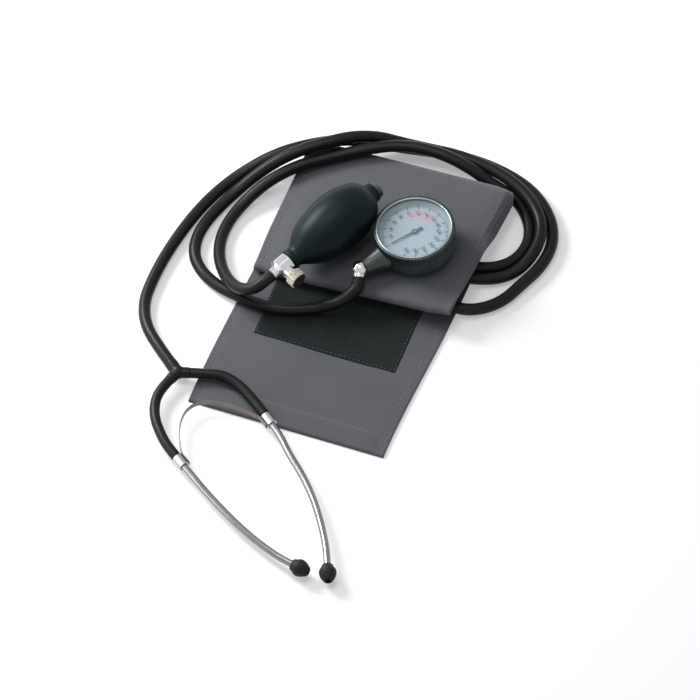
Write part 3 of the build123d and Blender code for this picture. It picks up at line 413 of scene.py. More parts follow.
finishes = {
    "cloth": clothFinish("cuffCanvas", (0.114, 0.115, 0.131), (0.078, 0.083, 0.091), 0.0011, 0.00016),
    "hem": clothFinish("hemTape", (0.09, 0.09, 0.105), (0.06, 0.062, 0.07), 0.0014, 0.0002),
    "thread": clothFinish("seamThread", (0.24, 0.24, 0.27), (0.18, 0.18, 0.2), 0.0006, 0.00008),
    "hook": napFinish("hookPile", (0.006, 0.01, 0.011), (0.002, 0.004, 0.0045), 1400, 0.00018),
    "loop": napFinish("loopPile", (0.03, 0.03, 0.034), (0.01, 0.011, 0.013), 600, 0.0005),
    "bulb": rubberFinish("bulbRubber", (0.001, 0.0028, 0.0032), 0.43, (0.004, 0.011, 0.012), 50, specular=0.17,
                         sheen=(0.78, 0.97, 1.0, 1.0)),
    "hose": rubberFinish("hoseRubber", (0.005, 0.006, 0.006), 0.36, (0.01, 0.012, 0.012), 80),
    "tip": rubberFinish("earTipRubber", (0.012, 0.012, 0.013), 0.55, (0.025, 0.025, 0.026), 90),
    "chrome": metalFinish("chromePlate", (0.72, 0.73, 0.74), (0.5, 0.5, 0.51), 0.12),
    "nickel": metalFinish("nickelPlate", (0.46, 0.42, 0.37), (0.3, 0.27, 0.23), 0.26, 150),
    "steel": metalFinish("springSteel", (0.52, 0.52, 0.53), (0.34, 0.33, 0.33), 0.26),
    "leaf": metalFinish("leafSteel", (0.2, 0.17, 0.15), (0.1, 0.08, 0.07), 0.36),
    "tube": metalFinish("tubeSteel", (0.3, 0.29, 0.285), (0.18, 0.17, 0.165), 0.2),
    "rim": metalFinish("rimPlate", (0.3, 0.36, 0.35), (0.16, 0.2, 0.2), 0.3),
    "surround": paintFinish("surroundEnamel", (0.2, 0.26, 0.29), (0.15, 0.2, 0.23), 0.35, 0.2),
    "bezel": metalFinish("bezelAlloy", (0.05, 0.062, 0.064), (0.024, 0.03, 0.032), 0.36, 140, 0.85),
    "case": paintFinish("gaugePaint", (0.012, 0.021, 0.02), (0.045, 0.062, 0.058), 0.42, 0.2),
    "dial": paintFinish("dialEnamel", (0.26, 0.345, 0.395), (0.22, 0.3, 0.355), 0.4, 0.15),
    "figures": paintFinish("dialInk", (0.012, 0.02, 0.03), (0.03, 0.045, 0.06), 0.5, 0.0),
    "redInk": paintFinish("dialRedInk", (0.35, 0.27, 0.32), (0.32, 0.27, 0.33), 0.5, 0.0),
    "glass": glassFinish("gaugeCrystal"),
    "brass": metalFinish("movementBrass", (0.72, 0.53, 0.24), (0.5, 0.36, 0.16), 0.3),
    "bronze": metalFinish("capsuleBronze", (0.6, 0.42, 0.26), (0.42, 0.28, 0.17), 0.32),
    "film": paintFinish("diaphragmFilm", (0.6, 0.62, 0.63), (0.5, 0.52, 0.53), 0.3, 0.2),
}
nodeFinishes = {
    "bezel": ("bezel",),
    "glass": ("crystal",),
    "dial": ("dial",),
    "chrome": ("chest_piece", "chest_ring"),
    "nickel": ("inlet_valve_retainer", "check_valve_cap"),
    "steel": ("inlet_valve_ball", "dial_screws", "plate_screws"),
    "brass": ("movement_plate", "movement_bridge", "movement_pillars", "sector_gear", "rocker_shaft",
              "pinion_arbor", "hairspring_collet", "capsule_pin"),
    "bronze": ("capsule", "hairspring"),
    "hose": ("gauge_port", "bulb_port"),
    "tip": ("check_valve_disc",),
    "film": ("chest_diaphragm",),
}
for finishName, nodeNames in nodeFinishes.items():
    for nodeName in nodeNames:
        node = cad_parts[nodeName]
        node.data.materials.clear()
        node.data.materials.append(finishes[finishName])
print("finishes are made")

# the turned and bent metal, its triangles joined so that it shades round
roundPieces = {
    # name: CAD node, body, finish, slot
    "gaugeCase": ("gauge_case", "base", "case", "gauge_black"),
    "gaugePointer": ("pointer", "pinion", "figures", "pointer_black"),
    "gaugeElbow": ("hose_elbow", "base", "chrome", "plated_brass"),
    "valveBody": ("valve_body", "base", "chrome", "plated_brass"),
    "releaseScrew": ("release_screw", "screw", "nickel", "plated_brass"),
    "inletHousing": ("inlet_valve_housing", "base", "case", "plated_brass"),
    "earTubeLeft": ("ear_tube_left", "left_ear", "tube", "chrome_tube"),
    "earTubeRight": ("ear_tube_right", "right_ear", "tube", "chrome_tube"),
    "springClampLeft": ("spring_clamp_left", "left_ear", "steel", "steel"),
    "springClampRight": ("spring_clamp_right", "right_ear", "steel", "steel"),
}


def makeRoundPiece(name):
    nodeName, body, finish, slotName = roundPieces[name]
    piece = bpy.data.objects.new(name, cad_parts[nodeName].data.copy())
    scene.collection.objects.link(piece)
    pick(piece)
    bpy.ops.object.mode_set(mode="EDIT")
    bpy.ops.mesh.select_all(action="SELECT")
    bpy.ops.mesh.remove_doubles(threshold=0.000002)
    bpy.ops.object.mode_set(mode="OBJECT")
    bpy.ops.mesh.customdata_custom_splitnormals_clear()
    smoothed(piece, 30)
    finished(piece, body, finishes[finish], slotName, nodeName)


for pieceName in roundPieces:
    makeRoundPiece(pieceName)
print("metal pieces are shaded round")


# the two air hoses and the stethoscope's tube
hoses = {
    "thick": 8.4,
    "roundness": 8,
    "smoothness": 8,
    "gaugeHose": {"node": "gauge_hose", "length": 0.5537, "route": [
        (51, 41.5, 8.0), (64, 41.5, 8.0), (77, 45.2, 6.2), (89.5, 51.5, 4.6), (99.5, 61, 5.2), (105, 74, 7.4),
        (106.4, 89.4, 9.2), (102.2, 103.4, 9.4), (92.6, 115.2, 10), (79.2, 124.8, 11.0), (63, 131.2, 11.8),
        (45, 134.6, 12.2), (27, 136, 12.0), (9, 134.8, 11.4), (-9, 131.8, 14), (-25.5, 127, 20.3),
        (-41.5, 117.4, 25.2), (-56, 106.6, 25.4), (-70.2, 96.6, 23.6), (-83.8, 85.6, 18.8), (-95.8, 73.6, 11.4),
        (-104.8, 60.8, 5.5), (-111.3, 46, 4.2), (-116.2, 30, 4.2), (-117.8, 14, 4.2), (-114, -1, 4.2),
        (-104, -12, 4.2), (-90, -19.5, 4.6), (-74, -24, 6.6), (-58, -27, 7.2), (-43, -25.8, 7.2),
        (-28.5, -20.8, 7.4), (-15, -15.2, 9.2), (-3.8, -10.6, 14.2), (2.9777, -5.4509, 20.6205),
        (5.1777, 0.0491, 23.3205), (3.97735, 5.33046, 25.9012)]},
    "bulbHose": {"node": "bulb_hose", "length": 0.4355, "route": [
        (51, 51.5, 8.0), (64, 51.5, 8.0), (76, 54.5, 6.2), (87, 61, 4.6), (95.4, 71, 4.2), (98.8, 85.2, 4.2),
        (95.6, 99.4, 4.2), (87, 112, 4.2), (74.8, 121.2, 4.2), (58.8, 123.5, 8.2), (41.5, 125.8, 16.4),
        (23.5, 127.2, 20.8), (6, 126.8, 21.8), (-11, 122.9, 21.8), (-26.6, 115.2, 21.2), (-41.2, 107, 18.9),
        (-55.2, 98, 17.6), (-68.3, 88.3, 17), (-79.9, 76.8, 15), (-89.9, 64.6, 10.5), (-97.6, 50.6, 5.5),
        (-101.8, 35, 4.2), (-101.8, 18.5, 4.5), (-97, 2.5, 6.6), (-88.4, -11.5, 10.4), (-78.8, -22.2, 15.8),
        (-69, -28.6, 21.8), (-59.5999, -28.6533, 27.4668), (-54.7999, -24.4033, 31.5668),
        (-51.0879, -17.3629, 32.3752)]},
    "stethoscopeTube": {"node": "stethoscope_tube", "length": 0.5676, "route": [
        (47.8721, 20.0887, 7.8), (60.5389, 17.1643, 7.8), (75.5, 16.4, 6.8), (88, 23.5, 4.8), (99, 35.5, 4.2),
        (105.6, 52, 4.2), (112.8, 69, 4.2), (115, 87.2, 4.2), (110.6, 104, 4.2), (100.2, 118.6, 4.2),
        (85.8, 130, 4.2), (68, 137, 4.2), (48, 140.6, 4.2), (28, 141, 4.2), (8, 138.6, 4.2), (-12, 133.8, 5.5),
        (-30, 128, 10.5), (-46, 120.6, 16.0), (-61, 111, 17.6), (-76, 101.5, 17.0), (-90.2, 92, 13.0),
        (-103, 80, 7.6), (-113, 66.4, 4.4), (-120.2, 50, 4.2), (-125.8, 32, 4.2), (-130, 12, 4.2),
        (-133, -10, 4.2), (-134, -31, 4.2), (-132.8, -50, 4.4), (-124.2, -69, 6.2), (-108.6515, -84.3963, 7.8),
        (-97.7715, -93.2068, 7.8)]},
}


def routedTube(name, route, thick):
    curve = splineCurve(name, [millimetres(*place) for place in route], hoses["smoothness"])
    curve.bevel_depth = thick / 2000
    curve.bevel_resolution = hoses["roundness"]
    curve.use_fill_caps = True
    piece = bpy.data.objects.new(name, curve)
    scene.collection.objects.link(piece)
    return piece


for hoseName in ("gaugeHose", "bulbHose", "stethoscopeTube"):
    hose = hoses[hoseName]
    piece = routedTube(hoseName, hose["route"], hoses["thick"])
    finished(piece, "base", finishes["hose"], "hose_rubber", hose["node"])
    millimetres(*hose["route"][0])
print("hoses lie round the cuff")


# cuff: one folded strip of cloth with the bladder inside
cuff = {
    "width": 143.0, "front": -115.2, "rear": 118.6, "lowerRun": 225.8, "flapFront": 0.0,
    "tuckEnd": 96.0, "tuckRun": 92.0,
    "thin": 2.1, "full": 3.8, "leftGap": 0.6, "rightGap": 13.0, "innerGap": 0.5,
    "seamWidth": 5.5, "puffWidth": 9.0, "edgeThick": 2.0, "grooveDepth": 0.16, "grooveWidth": 0.5,
    "hemDepth": 17.0, "hemRise": 0.6, "creaseHeight": 0.45, "creaseFront": -4.0,
    "frontNarrowing": 1.4, "narrowRun": 117.0, "frontShift": -6.0, "shiftStart": 45.0, "shiftRun": 152.0,
    "flapShift": 5.0, "flapWiden": 0.036, "flapSpread": 0.016,
    "droop": 7.0, "droopWidth": 6.4, "droopCurve": 1.4, "droopEnd": 0.5, "droopFade": 0.24,
    "stitchLength": 2.3, "stitchStep": 3.3, "stitchThick": 0.5, "stitchArch": 0.14, "stitchSink": 0.1,
    "seamLine": 3.6, "secondSeam": 6.4, "seamEnd": -2.0, "hemRow": 136.0, "hemInset": 1.6,
}
farOff = 50.0  # a distance at which no end shapes the cloth
# distances from the side edge at which the cloth has a line of points, and the steps in each stretch of it
margins = (0, 0.08, 0.25, 0.5, 0.8, 1.2, 2.0, 3.0, 3.6, 4.2, 5.4, 6.4, 7.4, 9, 11, 13.5, 17, 21, 26, 32,
           39, 47, 55, 63.5, 71.5)
sections = (("lower", 74), ("rear", 16), ("flap", 44), ("fold", 12), ("tucked", 26))


def foldPlace(section, share, x):  # outer point, inward direction and thickness of the strip, in millimetres
    slot = cuff["leftGap"] + (cuff["rightGap"] - cuff["leftGap"]) * (x / cuff["width"] + 0.5)
    tuck = cuff["thin"] + slot
    top = tuck + 2 * cuff["full"] + cuff["innerGap"]
    bend = cuff["full"] + cuff["innerGap"] / 2
    ring = top / 2
    rearY = cuff["rear"] - ring
    foldY = cuff["flapFront"] + bend
    if section == "lower":
        y = cuff["front"] + (rearY - cuff["front"]) * share
        rise = cuff["hemRise"] * smoothStep((cuff["front"] + cuff["hemDepth"] + 0.4 - y) / 0.8)
        return (y, 0.0), (0.0, 1.0), cuff["thin"] + rise
    if section == "flap":
        return (rearY + (foldY - rearY) * share, top), (0.0, -1.0), cuff["full"]
    if section == "tucked":
        return (foldY + (cuff["tuckEnd"] - foldY) * share, tuck), (0.0, 1.0), cuff["full"]
    if section == "rear":
        angle = math.pi * (share - 0.5)
        centre, radius = (rearY, ring), ring
        thick = cuff["thin"] + (cuff["full"] - cuff["thin"]) * smoothStep(share)
    else:
        angle = math.pi * (share + 0.5)
        centre, radius = (foldY, tuck + bend), bend
        thick = cuff["full"]
    y, z = math.cos(angle), math.sin(angle)
    return (centre[0] + radius * y, centre[1] + radius * z), (-y, -z), thick


def clothThick(thick, margin):
    edge = min(thick, cuff["edgeThick"])
    thick = edge + (thick - edge) * smoothStep((margin - cuff["seamWidth"]) / cuff["puffWidth"])
    seams = [math.exp(-((margin - cuff[line]) / cuff["grooveWidth"]) ** 2) for line in ("seamLine", "secondSeam")]
    return thick - cuff["grooveDepth"] * sum(seams)


def rounded(thick, distance):  # the edge closes in a half round
    radius = thick / 2
    if distance >= radius:
        return 1.0
    return math.sqrt(max(0.0, 1 - (1 - distance / radius) ** 2))


def clothSurface(section, share, x, inner, endDistance=farOff):
    (y, z), (inY, inZ), nominal = foldPlace(section, share, x)
    margin = cuff["width"] / 2 - abs(x)
    thick = clothThick(nominal, margin)
    half = thick / 2 * rounded(thick, margin) * rounded(thick, endDistance)
    middle = nominal / 2
    if section == "lower":
        middle = half if endDistance < 2 else thick / 2
    depth = middle + half if inner else middle - half
    crease = noise.fractal(Vector((x / 34, y / 46, 3.1 if section == "flap" else 7.7)), 0.8, 2.1, 3)
    lift = cuff["creaseHeight"] * crease * smoothStep(margin / 6)
    if section == "flap":
        lift *= smoothStep(share / 0.15) * smoothStep((1 - share) / 0.15)
        depth -= lift * 0.5
    elif section == "lower" and inner and y < cuff["creaseFront"]:
        depth += (max(-0.3, lift) * smoothStep((cuff["creaseFront"] - y) / 14)
                  * smoothStep((y - cuff["front"] - cuff["hemDepth"] - 1) / 6))
    droop = {"rear": smoothStep(2 * share - 1), "flap": smoothStep((cuff["droopEnd"] - share) / cuff["droopFade"])}
    if x > 0:  # the flap's right edge hangs down over its rear half
        edge = max(0.0, 1 - margin / cuff["droopWidth"]) ** cuff["droopCurve"]
        depth += cuff["droop"] * droop.get(section, 0.0) * edge
    narrow = 1 - cuff["frontNarrowing"] / cuff["width"] * smoothStep(-y / cuff["narrowRun"])
    askew = {"rear": smoothStep(share), "flap": 1 - share}.get(section, 0.0)
    spread = {"rear": smoothStep(share), "flap": smoothStep((1 - share) / 0.3)}.get(section, 0.0)
    side = x * (narrow + cuff["flapWiden"] * askew + cuff["flapSpread"] * spread) + cuff["flapShift"] * askew
    if section == "lower":
        side += cuff["frontShift"] * smoothStep((cuff["shiftStart"] - y) / cuff["shiftRun"])
    return Vector((side, y + inY * depth, z + inZ * depth))


def clothLines():  # where each line of points runs across the strip, closer at its ends and at the hem
    lines = [(name, place / count) for name, count in sections for place in range(count)]
    starts = [("lower", distance / cuff["lowerRun"]) for distance in (0, 0.15, 0.5, 1.0, 1.8)]
    hem = [("lower", (cuff["hemDepth"] + step) / cuff["lowerRun"]) for step in (-0.5, -0.1, 0.3, 0.7, 1.1)]
    lower = sorted(set(starts + hem + [line for line in lines if line[0] == "lower"]), key=lambda line: line[1])
    rest = [line for line in lines if line[0] != "lower"]
    ends = [("tucked", 1 - distance / cuff["tuckRun"]) for distance in (1.8, 0.8, 0.3, 0)]
    return lower + rest + ends


def makeCuff():
    half = cuff["width"] / 2
    across = [-half + margin for margin in margins] + [half - margin for margin in reversed(margins[:-1])]
    lines = clothLines()
    lastRow, lastColumn = len(lines) - 1, len(across) - 1
    points, mapping, index = [], [], {}
    travelled, before = 0.0, None
    for row, (section, share) in enumerate(lines):
        outer = foldPlace(section, share, 0.0)[0]
        if before:
            travelled += math.dist(before, outer)
        before = outer
        endDistance = min(travelled, farOff) if section == "lower" else farOff
        if section == "tucked":
            endDistance = (1 - share) * cuff["tuckRun"]
        for column, x in enumerate(across):
            shared = row in (0, lastRow) or column in (0, lastColumn)
            for inner in (False, True):
                if inner and shared:
                    index[row, column, True] = index[row, column, False]
                    continue
                index[row, column, inner] = len(points)
                points.append(clothSurface(section, share, x, inner, endDistance) / 1000)
                mapping.append((x / 1000, travelled / 1000 + (0.0005 if inner else 0.0)))
    faces = []
    for row in range(lastRow):
        for column in range(lastColumn):
            for inner in (False, True):
                corners = [index[row, column, inner], index[row, column + 1, inner],
                           index[row + 1, column + 1, inner], index[row + 1, column, inner]]
                face = []
                for corner in corners:
                    if corner not in face:
                        face.append(corner)
                if len(face) > 2:
                    faces.append(face if inner else face[::-1])
    piece = meshPiece("cuffCloth", points, faces, mapping)
    facedOutward(piece)
    applied(piece, "SUBSURF", levels=1, render_levels=1)
    smoothed(piece, 60)
    finished(piece, "base", finishes["cloth"], "cuff_cloth",
             "cuff_outer_panel", "cuff_inner_panel", "cuff_hem", "bladder")
    print("cuff strip is", round(travelled, 1), "mm long")


makeCuff()


def stitchRow(places):  # one short capsule of thread at each place: (point, along, up)
    bpy.ops.mesh.primitive_uv_sphere_add(segments=6, ring_count=5, radius=1.0)
    capsule = bpy.context.active_object
    shape = [vertex.co.copy() for vertex in capsule.data.vertices]
    patches = [tuple(polygon.vertices) for polygon in capsule.data.polygons]
    bpy.data.objects.remove(capsule)
    points, faces, mapping = [], [], []
    for centre, along, up in places:
        along, up = along.normalized(), up.normalized()
        side = up.cross(along)
        start = len(points)
        for vertex in shape:
            long = vertex.z * cuff["stitchLength"] / 2
            arch = cuff["stitchArch"] * (1 - vertex.z ** 2) - cuff["stitchSink"]
            thin = cuff["stitchThick"] / 2
            points.append((centre + along * long + side * vertex.x * thin + up * (vertex.y * thin + arch)) / 1000)
            mapping.append((vertex.x * 0.001, long / 1000))
        faces += [[start + corner for corner in patch] for patch in patches]
    return points, faces, mapping


def seamPlaces():
    places = []
    half = cuff["width"] / 2
    for section, inner in (("flap", False), ("lower", True)):
        startY, endY = [foldPlace(section, share, 0.0)[0][0] for share in (0.0, 1.0)]
        steps = int(abs(endY - startY) / cuff["stitchStep"])
        for side in (-1, 1):
            for line in (cuff["seamLine"], cuff["secondSeam"]):
                x = side * (half - line)
                for step in range(1, steps):
                    share = step / steps
                    point = clothSurface(section, share, x, inner)
                    if section == "lower" and point.y > cuff["seamEnd"]:
                        continue  # hidden under the flap
                    ahead = clothSurface(section, share + 0.004, x, inner)
                    aside = clothSurface(section, share, x - side * 0.3, inner)
                    up = (ahead - point).cross(aside - point)
                    places.append((point, ahead - point, up if up.z > 0 else -up))
    hemShare = (cuff["hemDepth"] - cuff["hemInset"]) / cuff["lowerRun"]
    for step in range(1, int(cuff["hemRow"] / cuff["stitchStep"])):
        x = -cuff["hemRow"] / 2 + step * cuff["stitchStep"]
        point = clothSurface("lower", hemShare, x, True)
        places.append((point, Vector((1, 0, 0)), Vector((0, 0, 1))))
    return places


def makeStitches():
    points, faces, mapping = stitchRow(seamPlaces())
    piece = meshPiece("cuffStitches", points, faces, mapping)
    smoothed(piece, 80)
    finished(piece, "base", finishes["thread"], "cuff_cloth")


makeStitches()
print("cuff is folded and sewn")

# fastener patches
patches = {
    "grid": 1.2, "rim": 1.4, "backing": 0.6, "seam": 1.6,
    "hookPatch": {"node": "hook_patch", "finish": "hook", "x": (-54, 49), "y": (-47, 13), "base": 2.1,
                  "slope": 0.0, "lean": 0.0, "thick": 0.7, "tuft": 0.16},
    "loopPatch": {"node": "loop_patch", "finish": "loop", "x": (-54, 36), "y": (48, 92), "base": 9.0,
                  "slope": 12.4 / 143, "lean": 3.8, "thick": -0.7, "tuft": 0.1},  # it faces down
}


def makePatch(name):
    patch = patches[name]
    (left, right), (front, rear) = patch["x"], patch["y"]
    wide, deep = right - left, rear - front
    columns, rows = int(wide / patches["grid"]), int(deep / patches["grid"])
    bpy.ops.mesh.primitive_grid_add(x_subdivisions=columns, y_subdivisions=rows, size=1)
    piece = bpy.context.active_object
    piece.name = name
    centre = Vector(((left + right) / 2, (front + rear) / 2, 0))
    for vertex in piece.data.vertices:
        x, y = vertex.co.x * wide + centre.x, vertex.co.y * deep + centre.y
        margin = min(x - left, right - x, y - front, rear - y)
        level = patch["base"] + patch["slope"] * (x + patch["lean"])
        seam = math.exp(-((margin - patches["seam"]) / 0.5) ** 2)
        rim = rounded(patches["rim"], margin) * (1 - 0.25 * seam)
        tuft = patch["tuft"] * noise.noise(Vector((x * 1.9, y * 1.9, 1.7))) * smoothStep(margin / 2)
        vertex.co = Vector((x, y, level + patch["thick"] * rim + tuft)) / 1000
    pick(piece)
    backing = math.copysign(patches["backing"] / 1000, -patch["thick"])
    bpy.ops.object.mode_set(mode="EDIT")
    bpy.ops.mesh.select_all(action="SELECT")
    bpy.ops.mesh.extrude_region_move(TRANSFORM_OT_translate={"value": (0, 0, backing)})
    bpy.ops.object.mode_set(mode="OBJECT")
    facedOutward(piece)
    smoothed(piece, 50)
    finished(piece, "base", finishes[patch["finish"]], "fastener_tape", patch["node"])


for patchName in ("hookPatch", "loopPatch"):
    makePatch(patchName)


def makePatchStitches():
    patch = patches["hookPatch"]
    (left, right), (front, rear) = patch["x"], patch["y"]
    inset = patches["seam"]
    places = []
    up = Vector((0, 0, 1))
    level = patch["base"] + patch["thick"] * 0.8
    for step in range(int((right - left - 2 * inset) / cuff["stitchStep"])):
        x = left + inset + (step + 0.5) * cuff["stitchStep"]
        places.append((Vector((x, front + inset, level)), Vector((1, 0, 0)), up))
    for step in range(int((rear - front - 2 * inset) / cuff["stitchStep"])):
        y = front + inset + (step + 0.5) * cuff["stitchStep"]
        for x in (left + inset, right - inset):
            places.append((Vector((x, y, level)), Vector((0, 1, 0)), up))
    points, faces, mapping = stitchRow(places)
    piece = meshPiece("patchStitches", points, faces, mapping)
    smoothed(piece, 80)
    finished(piece, "base", finishes["hem"], "cuff_cloth")


makePatchStitches()
print("fastener patches are sewn on")

# squeeze bulb
bulb = {
    "centre": (-25.8, 30.6, 37.8828),
    "axis": (-0.463999, -0.880053, -0.101056),
    "side": (0.884581, -0.466387, 0.0),
    "radius": 22.3, "wall": 2.6, "neckEnd": 38.5, "inletEnd": 41.5,
    "belly": -6.5, "neckSide": (42.9, 1.4), "inletSide": (31.1, 0.82),  # reach and fullness of each half
    "slim": 0.09, "slimReach": 30.0, "slimFade": 14.0,
    "neckRadius": 7.6, "inletRadius": 7.0, "bore": 4.25, "hollowReach": 31.0, "endWall": 9.0,
}


def bulbProfile():
    radius = bulb["radius"]
    outer = [(bulb["bore"], bulb["neckEnd"]), (bulb["neckRadius"] - 0.8, bulb["neckEnd"]),
             (bulb["neckRadius"], bulb["neckEnd"] - 0.8), (bulb["neckRadius"] + 0.1, bulb["neckEnd"] - 2.4)]
    steps = 22
    for step in range(1, steps):
        angle = math.pi * step / steps
        reach, fullness = bulb["neckSide"] if angle < math.pi / 2 else bulb["inletSide"]
        swell = radius * math.sin(angle) ** fullness
        outer.append((max(bulb["inletRadius"] + 0.3, swell), bulb["belly"] + math.cos(angle) * reach))
    outer += [(bulb["inletRadius"], -bulb["inletEnd"] + 2.0), (bulb["inletRadius"], -bulb["inletEnd"] + 0.7),
              (bulb["inletRadius"] - 0.7, -bulb["inletEnd"]), (bulb["bore"], -bulb["inletEnd"])]
    inner = [(bulb["bore"], -bulb["inletEnd"] + bulb["endWall"])]
    for step in range(2, 12):
        angle = math.pi * (1 - step / 13)
        wide = max(bulb["bore"], (radius - bulb["wall"]) * math.sin(angle))
        inner.append((wide, math.cos(angle) * bulb["hollowReach"]))
    inner.append((bulb["bore"], bulb["neckEnd"] - bulb["endWall"]))
    return [(wide / 1000, along / 1000) for wide, along in outer + inner]


bulbFrame = frameOf(millimetres(*bulb["centre"]), bulb["side"], bulb["axis"])
bulbPiece = lathed("squeezeBulb", bulbProfile(), Matrix(), 72, closed=True)
for vertex in bulbPiece.data.vertices:  # the soft egg lies a little narrower than it is high
    reach = bulb["slimReach"] - abs(vertex.co.z * 1000 - bulb["belly"])
    vertex.co.x *= 1 - bulb["slim"] * smoothStep(reach / bulb["slimFade"])
bulbPiece.data.transform(bulbFrame)
applied(bulbPiece, "SUBSURF", levels=1, render_levels=1)
smoothed(bulbPiece, 50)
finished(bulbPiece, "base", finishes["bulb"], "black_rubber", "bulb")
print("bulb is turned")

# gauge face
gauge = {
    "seat": (32.2, 44.8, 19.9922),
    "up": (-0.086389, 0.0, 0.996261),
    "stem": (-0.638976, -0.767228, -0.055408),
    "faceHeight": 19.8, "zero": 0.0, "sweep": -320.0, "top": 300, "smallStep": 4, "figureStep": 20,
    "outerRing": 22.9, "shortMark": 1.7, "longMark": 3.2, "shortWidth": 0.34, "longWidth": 0.75,
    "figureRadius": 16.6, "figureSize": 3.6, "figureBold": 0.07, "ink": 0.03, "sink": 0.02, "ringLine": 0.22,
    "bandFrom": 90, "bandTo": 166, "bandInner": 11.2, "bandOuter": 19.2,
    "flutes": 60, "fluteDepth": 0.35, "fluteTop": 24.2, "fluteFrom": 28.0,
    "ring": [(26.45, 18.8), (28.2, 18.8), (28.2, 20.4), (28.2, 22.4), (28.2, 24.1), (28.1, 24.5), (27.85, 24.8),
             (27.4, 25.0), (26.9, 25.1), (26.45, 25.1)],
    "rim": [(26.5, 23.7), (26.5, 24.9), (26.25, 25.15), (25.8, 25.25), (25.4, 25.15), (25.2, 24.9), (25.2, 23.7)],
    "surround": [(23.7, 19.86), (24.3, 20.3), (25.5, 22.4), (26.2, 22.5), (26.2, 20.1), (24.4, 20.02)],
    "crystal": [(0, 24.3), (8, 24.22), (16, 24.02), (22, 23.8), (25, 23.68), (26.3, 23.6), (26.3, 22.6), (0, 22.6)],
}
gaugeFrame = frameOf(millimetres(*gauge["seat"]), gauge["stem"], gauge["up"])


def faceAngle(value):
    return math.radians(gauge["zero"] + gauge["sweep"] * value / gauge["top"])


def inkHeights():  # the print reaches a little into the dial and stands a little above it
    return gauge["faceHeight"] - gauge["sink"], gauge["faceHeight"] + gauge["ink"]


def barOnFace(points, faces, angle, inner, outer, width):
    along = Vector((math.cos(angle), math.sin(angle), 0))
    side = Vector((-along.y, along.x, 0)) * width / 2
    a = len(points)
    for z in inkHeights():
        for radius, sign in ((inner, -1), (outer, -1), (outer, 1), (inner, 1)):
            points.append((along * radius + side * sign + Vector((0, 0, z))) / 1000)
    faces += [[a + 3, a + 2, a + 1, a], [a + 4, a + 5, a + 6, a + 7], [a, a + 1, a + 5, a + 4],
              [a + 1, a + 2, a + 6, a + 5], [a + 2, a + 3, a + 7, a + 6], [a + 3, a, a + 4, a + 7]]


def arcOnFace(points, faces, fromValue, toValue, inner, outer, steps):
    for step in range(steps):
        first = faceAngle(fromValue + (toValue - fromValue) * step / steps)
        last = faceAngle(fromValue + (toValue - fromValue) * (step + 1) / steps)
        a = len(points)
        for z in inkHeights():
            for radius, angle in ((inner, first), (outer, first), (outer, last), (inner, last)):
                points.append(Vector((radius * math.cos(angle), radius * math.sin(angle), z)) / 1000)
        faces += [[a, a + 1, a + 2, a + 3], [a + 7, a + 6, a + 5, a + 4], [a + 4, a + 5, a + 1, a],
                  [a + 5, a + 6, a + 2, a + 1], [a + 6, a + 7, a + 3, a + 2], [a + 7, a + 4, a, a + 3]]


def makeFaceMarks():
    points, faces = [], []
    for value in range(0, gauge["top"] + 1, gauge["smallStep"]):
        long = value % gauge["figureStep"] == 0
        reach = gauge["longMark"] if long else gauge["shortMark"]
        width = gauge["longWidth"] if long else gauge["shortWidth"]
        barOnFace(points, faces, faceAngle(value), gauge["outerRing"] - reach, gauge["outerRing"], width)
    arcOnFace(points, faces, 0, gauge["top"], gauge["outerRing"], gauge["outerRing"] + gauge["ringLine"], 120)
    marks = meshPiece("dialMarks", points, faces)
    marks.data.transform(gaugeFrame)
    facedOutward(marks)
    finished(marks, "base", finishes["figures"], "pointer_black")
    points, faces = [], []
    arcOnFace(points, faces, gauge["bandFrom"], gauge["bandTo"], gauge["bandInner"], gauge["bandOuter"], 40)
    band = meshPiece("dialRedBand", points, faces)
    band.data.transform(gaugeFrame)
    finished(band, "base", finishes["redInk"], "pointer_black")


def makeFigures():
    figures = []
    for value in range(0, gauge["top"] + 1, gauge["figureStep"]):
        bpy.ops.object.text_add()
        figure = bpy.context.active_object
        figure.data.body = str(value)
        figure.data.size = gauge["figureSize"] / 1000
        figure.data.align_x = "CENTER"
        figure.data.align_y = "CENTER"
        figure.data.extrude = gauge["ink"] * 2 / 1000
        figure.data.offset = gauge["figureBold"] / 1000
        pick(figure)
        bpy.ops.object.convert(target="MESH")
        angle = faceAngle(value)
        place = Vector((math.cos(angle), math.sin(angle), 0)) * gauge["figureRadius"]
        upright = Matrix.Rotation(math.radians(90), 4, "Z")
        figure.data.transform(Matrix.Translation((place + Vector((0, 0, gauge["faceHeight"]))) / 1000) @ upright)
        figures.append(figure)
    joined = joinedAs("dialFigures", figures)
    joined.data.transform(gaugeFrame)
    finished(joined, "base", finishes["figures"], "pointer_black")


makeFaceMarks()
makeFigures()


def turnedRing(name, profileName, steps, finish, slotName, *nodes):
    profile = [(radius / 1000, height / 1000) for radius, height in gauge[profileName]]
    piece = lathed(name, profile, Matrix(), steps, closed=profileName != "crystal")
    if profileName == "ring":  # a coin edge round the wall
        for vertex in piece.data.vertices:
            height, radius = vertex.co.z * 1000, vertex.co.xy.length * 1000
            if radius > gauge["fluteFrom"] and height < gauge["fluteTop"]:
                turn = math.atan2(vertex.co.y, vertex.co.x)
                groove = gauge["fluteDepth"] * max(0.0, math.cos(gauge["flutes"] * turn))
                vertex.co.xy *= 1 - groove / radius
    piece.data.transform(gaugeFrame)
    smoothed(piece, 40)
    finished(piece, "base", finishes[finish], slotName, *nodes)


turnedRing("bezelRing", "ring", 240, "bezel", "bezel_metal", "bezel")
turnedRing("windowRim", "rim", 120, "rim", "bezel_metal")
turnedRing("dialSurround", "surround", 120, "surround", "bezel_metal")
turnedRing("crystalDome", "crystal", 120, "glass", "clear_crystal", "crystal")
print("gauge face is printed and glazed")

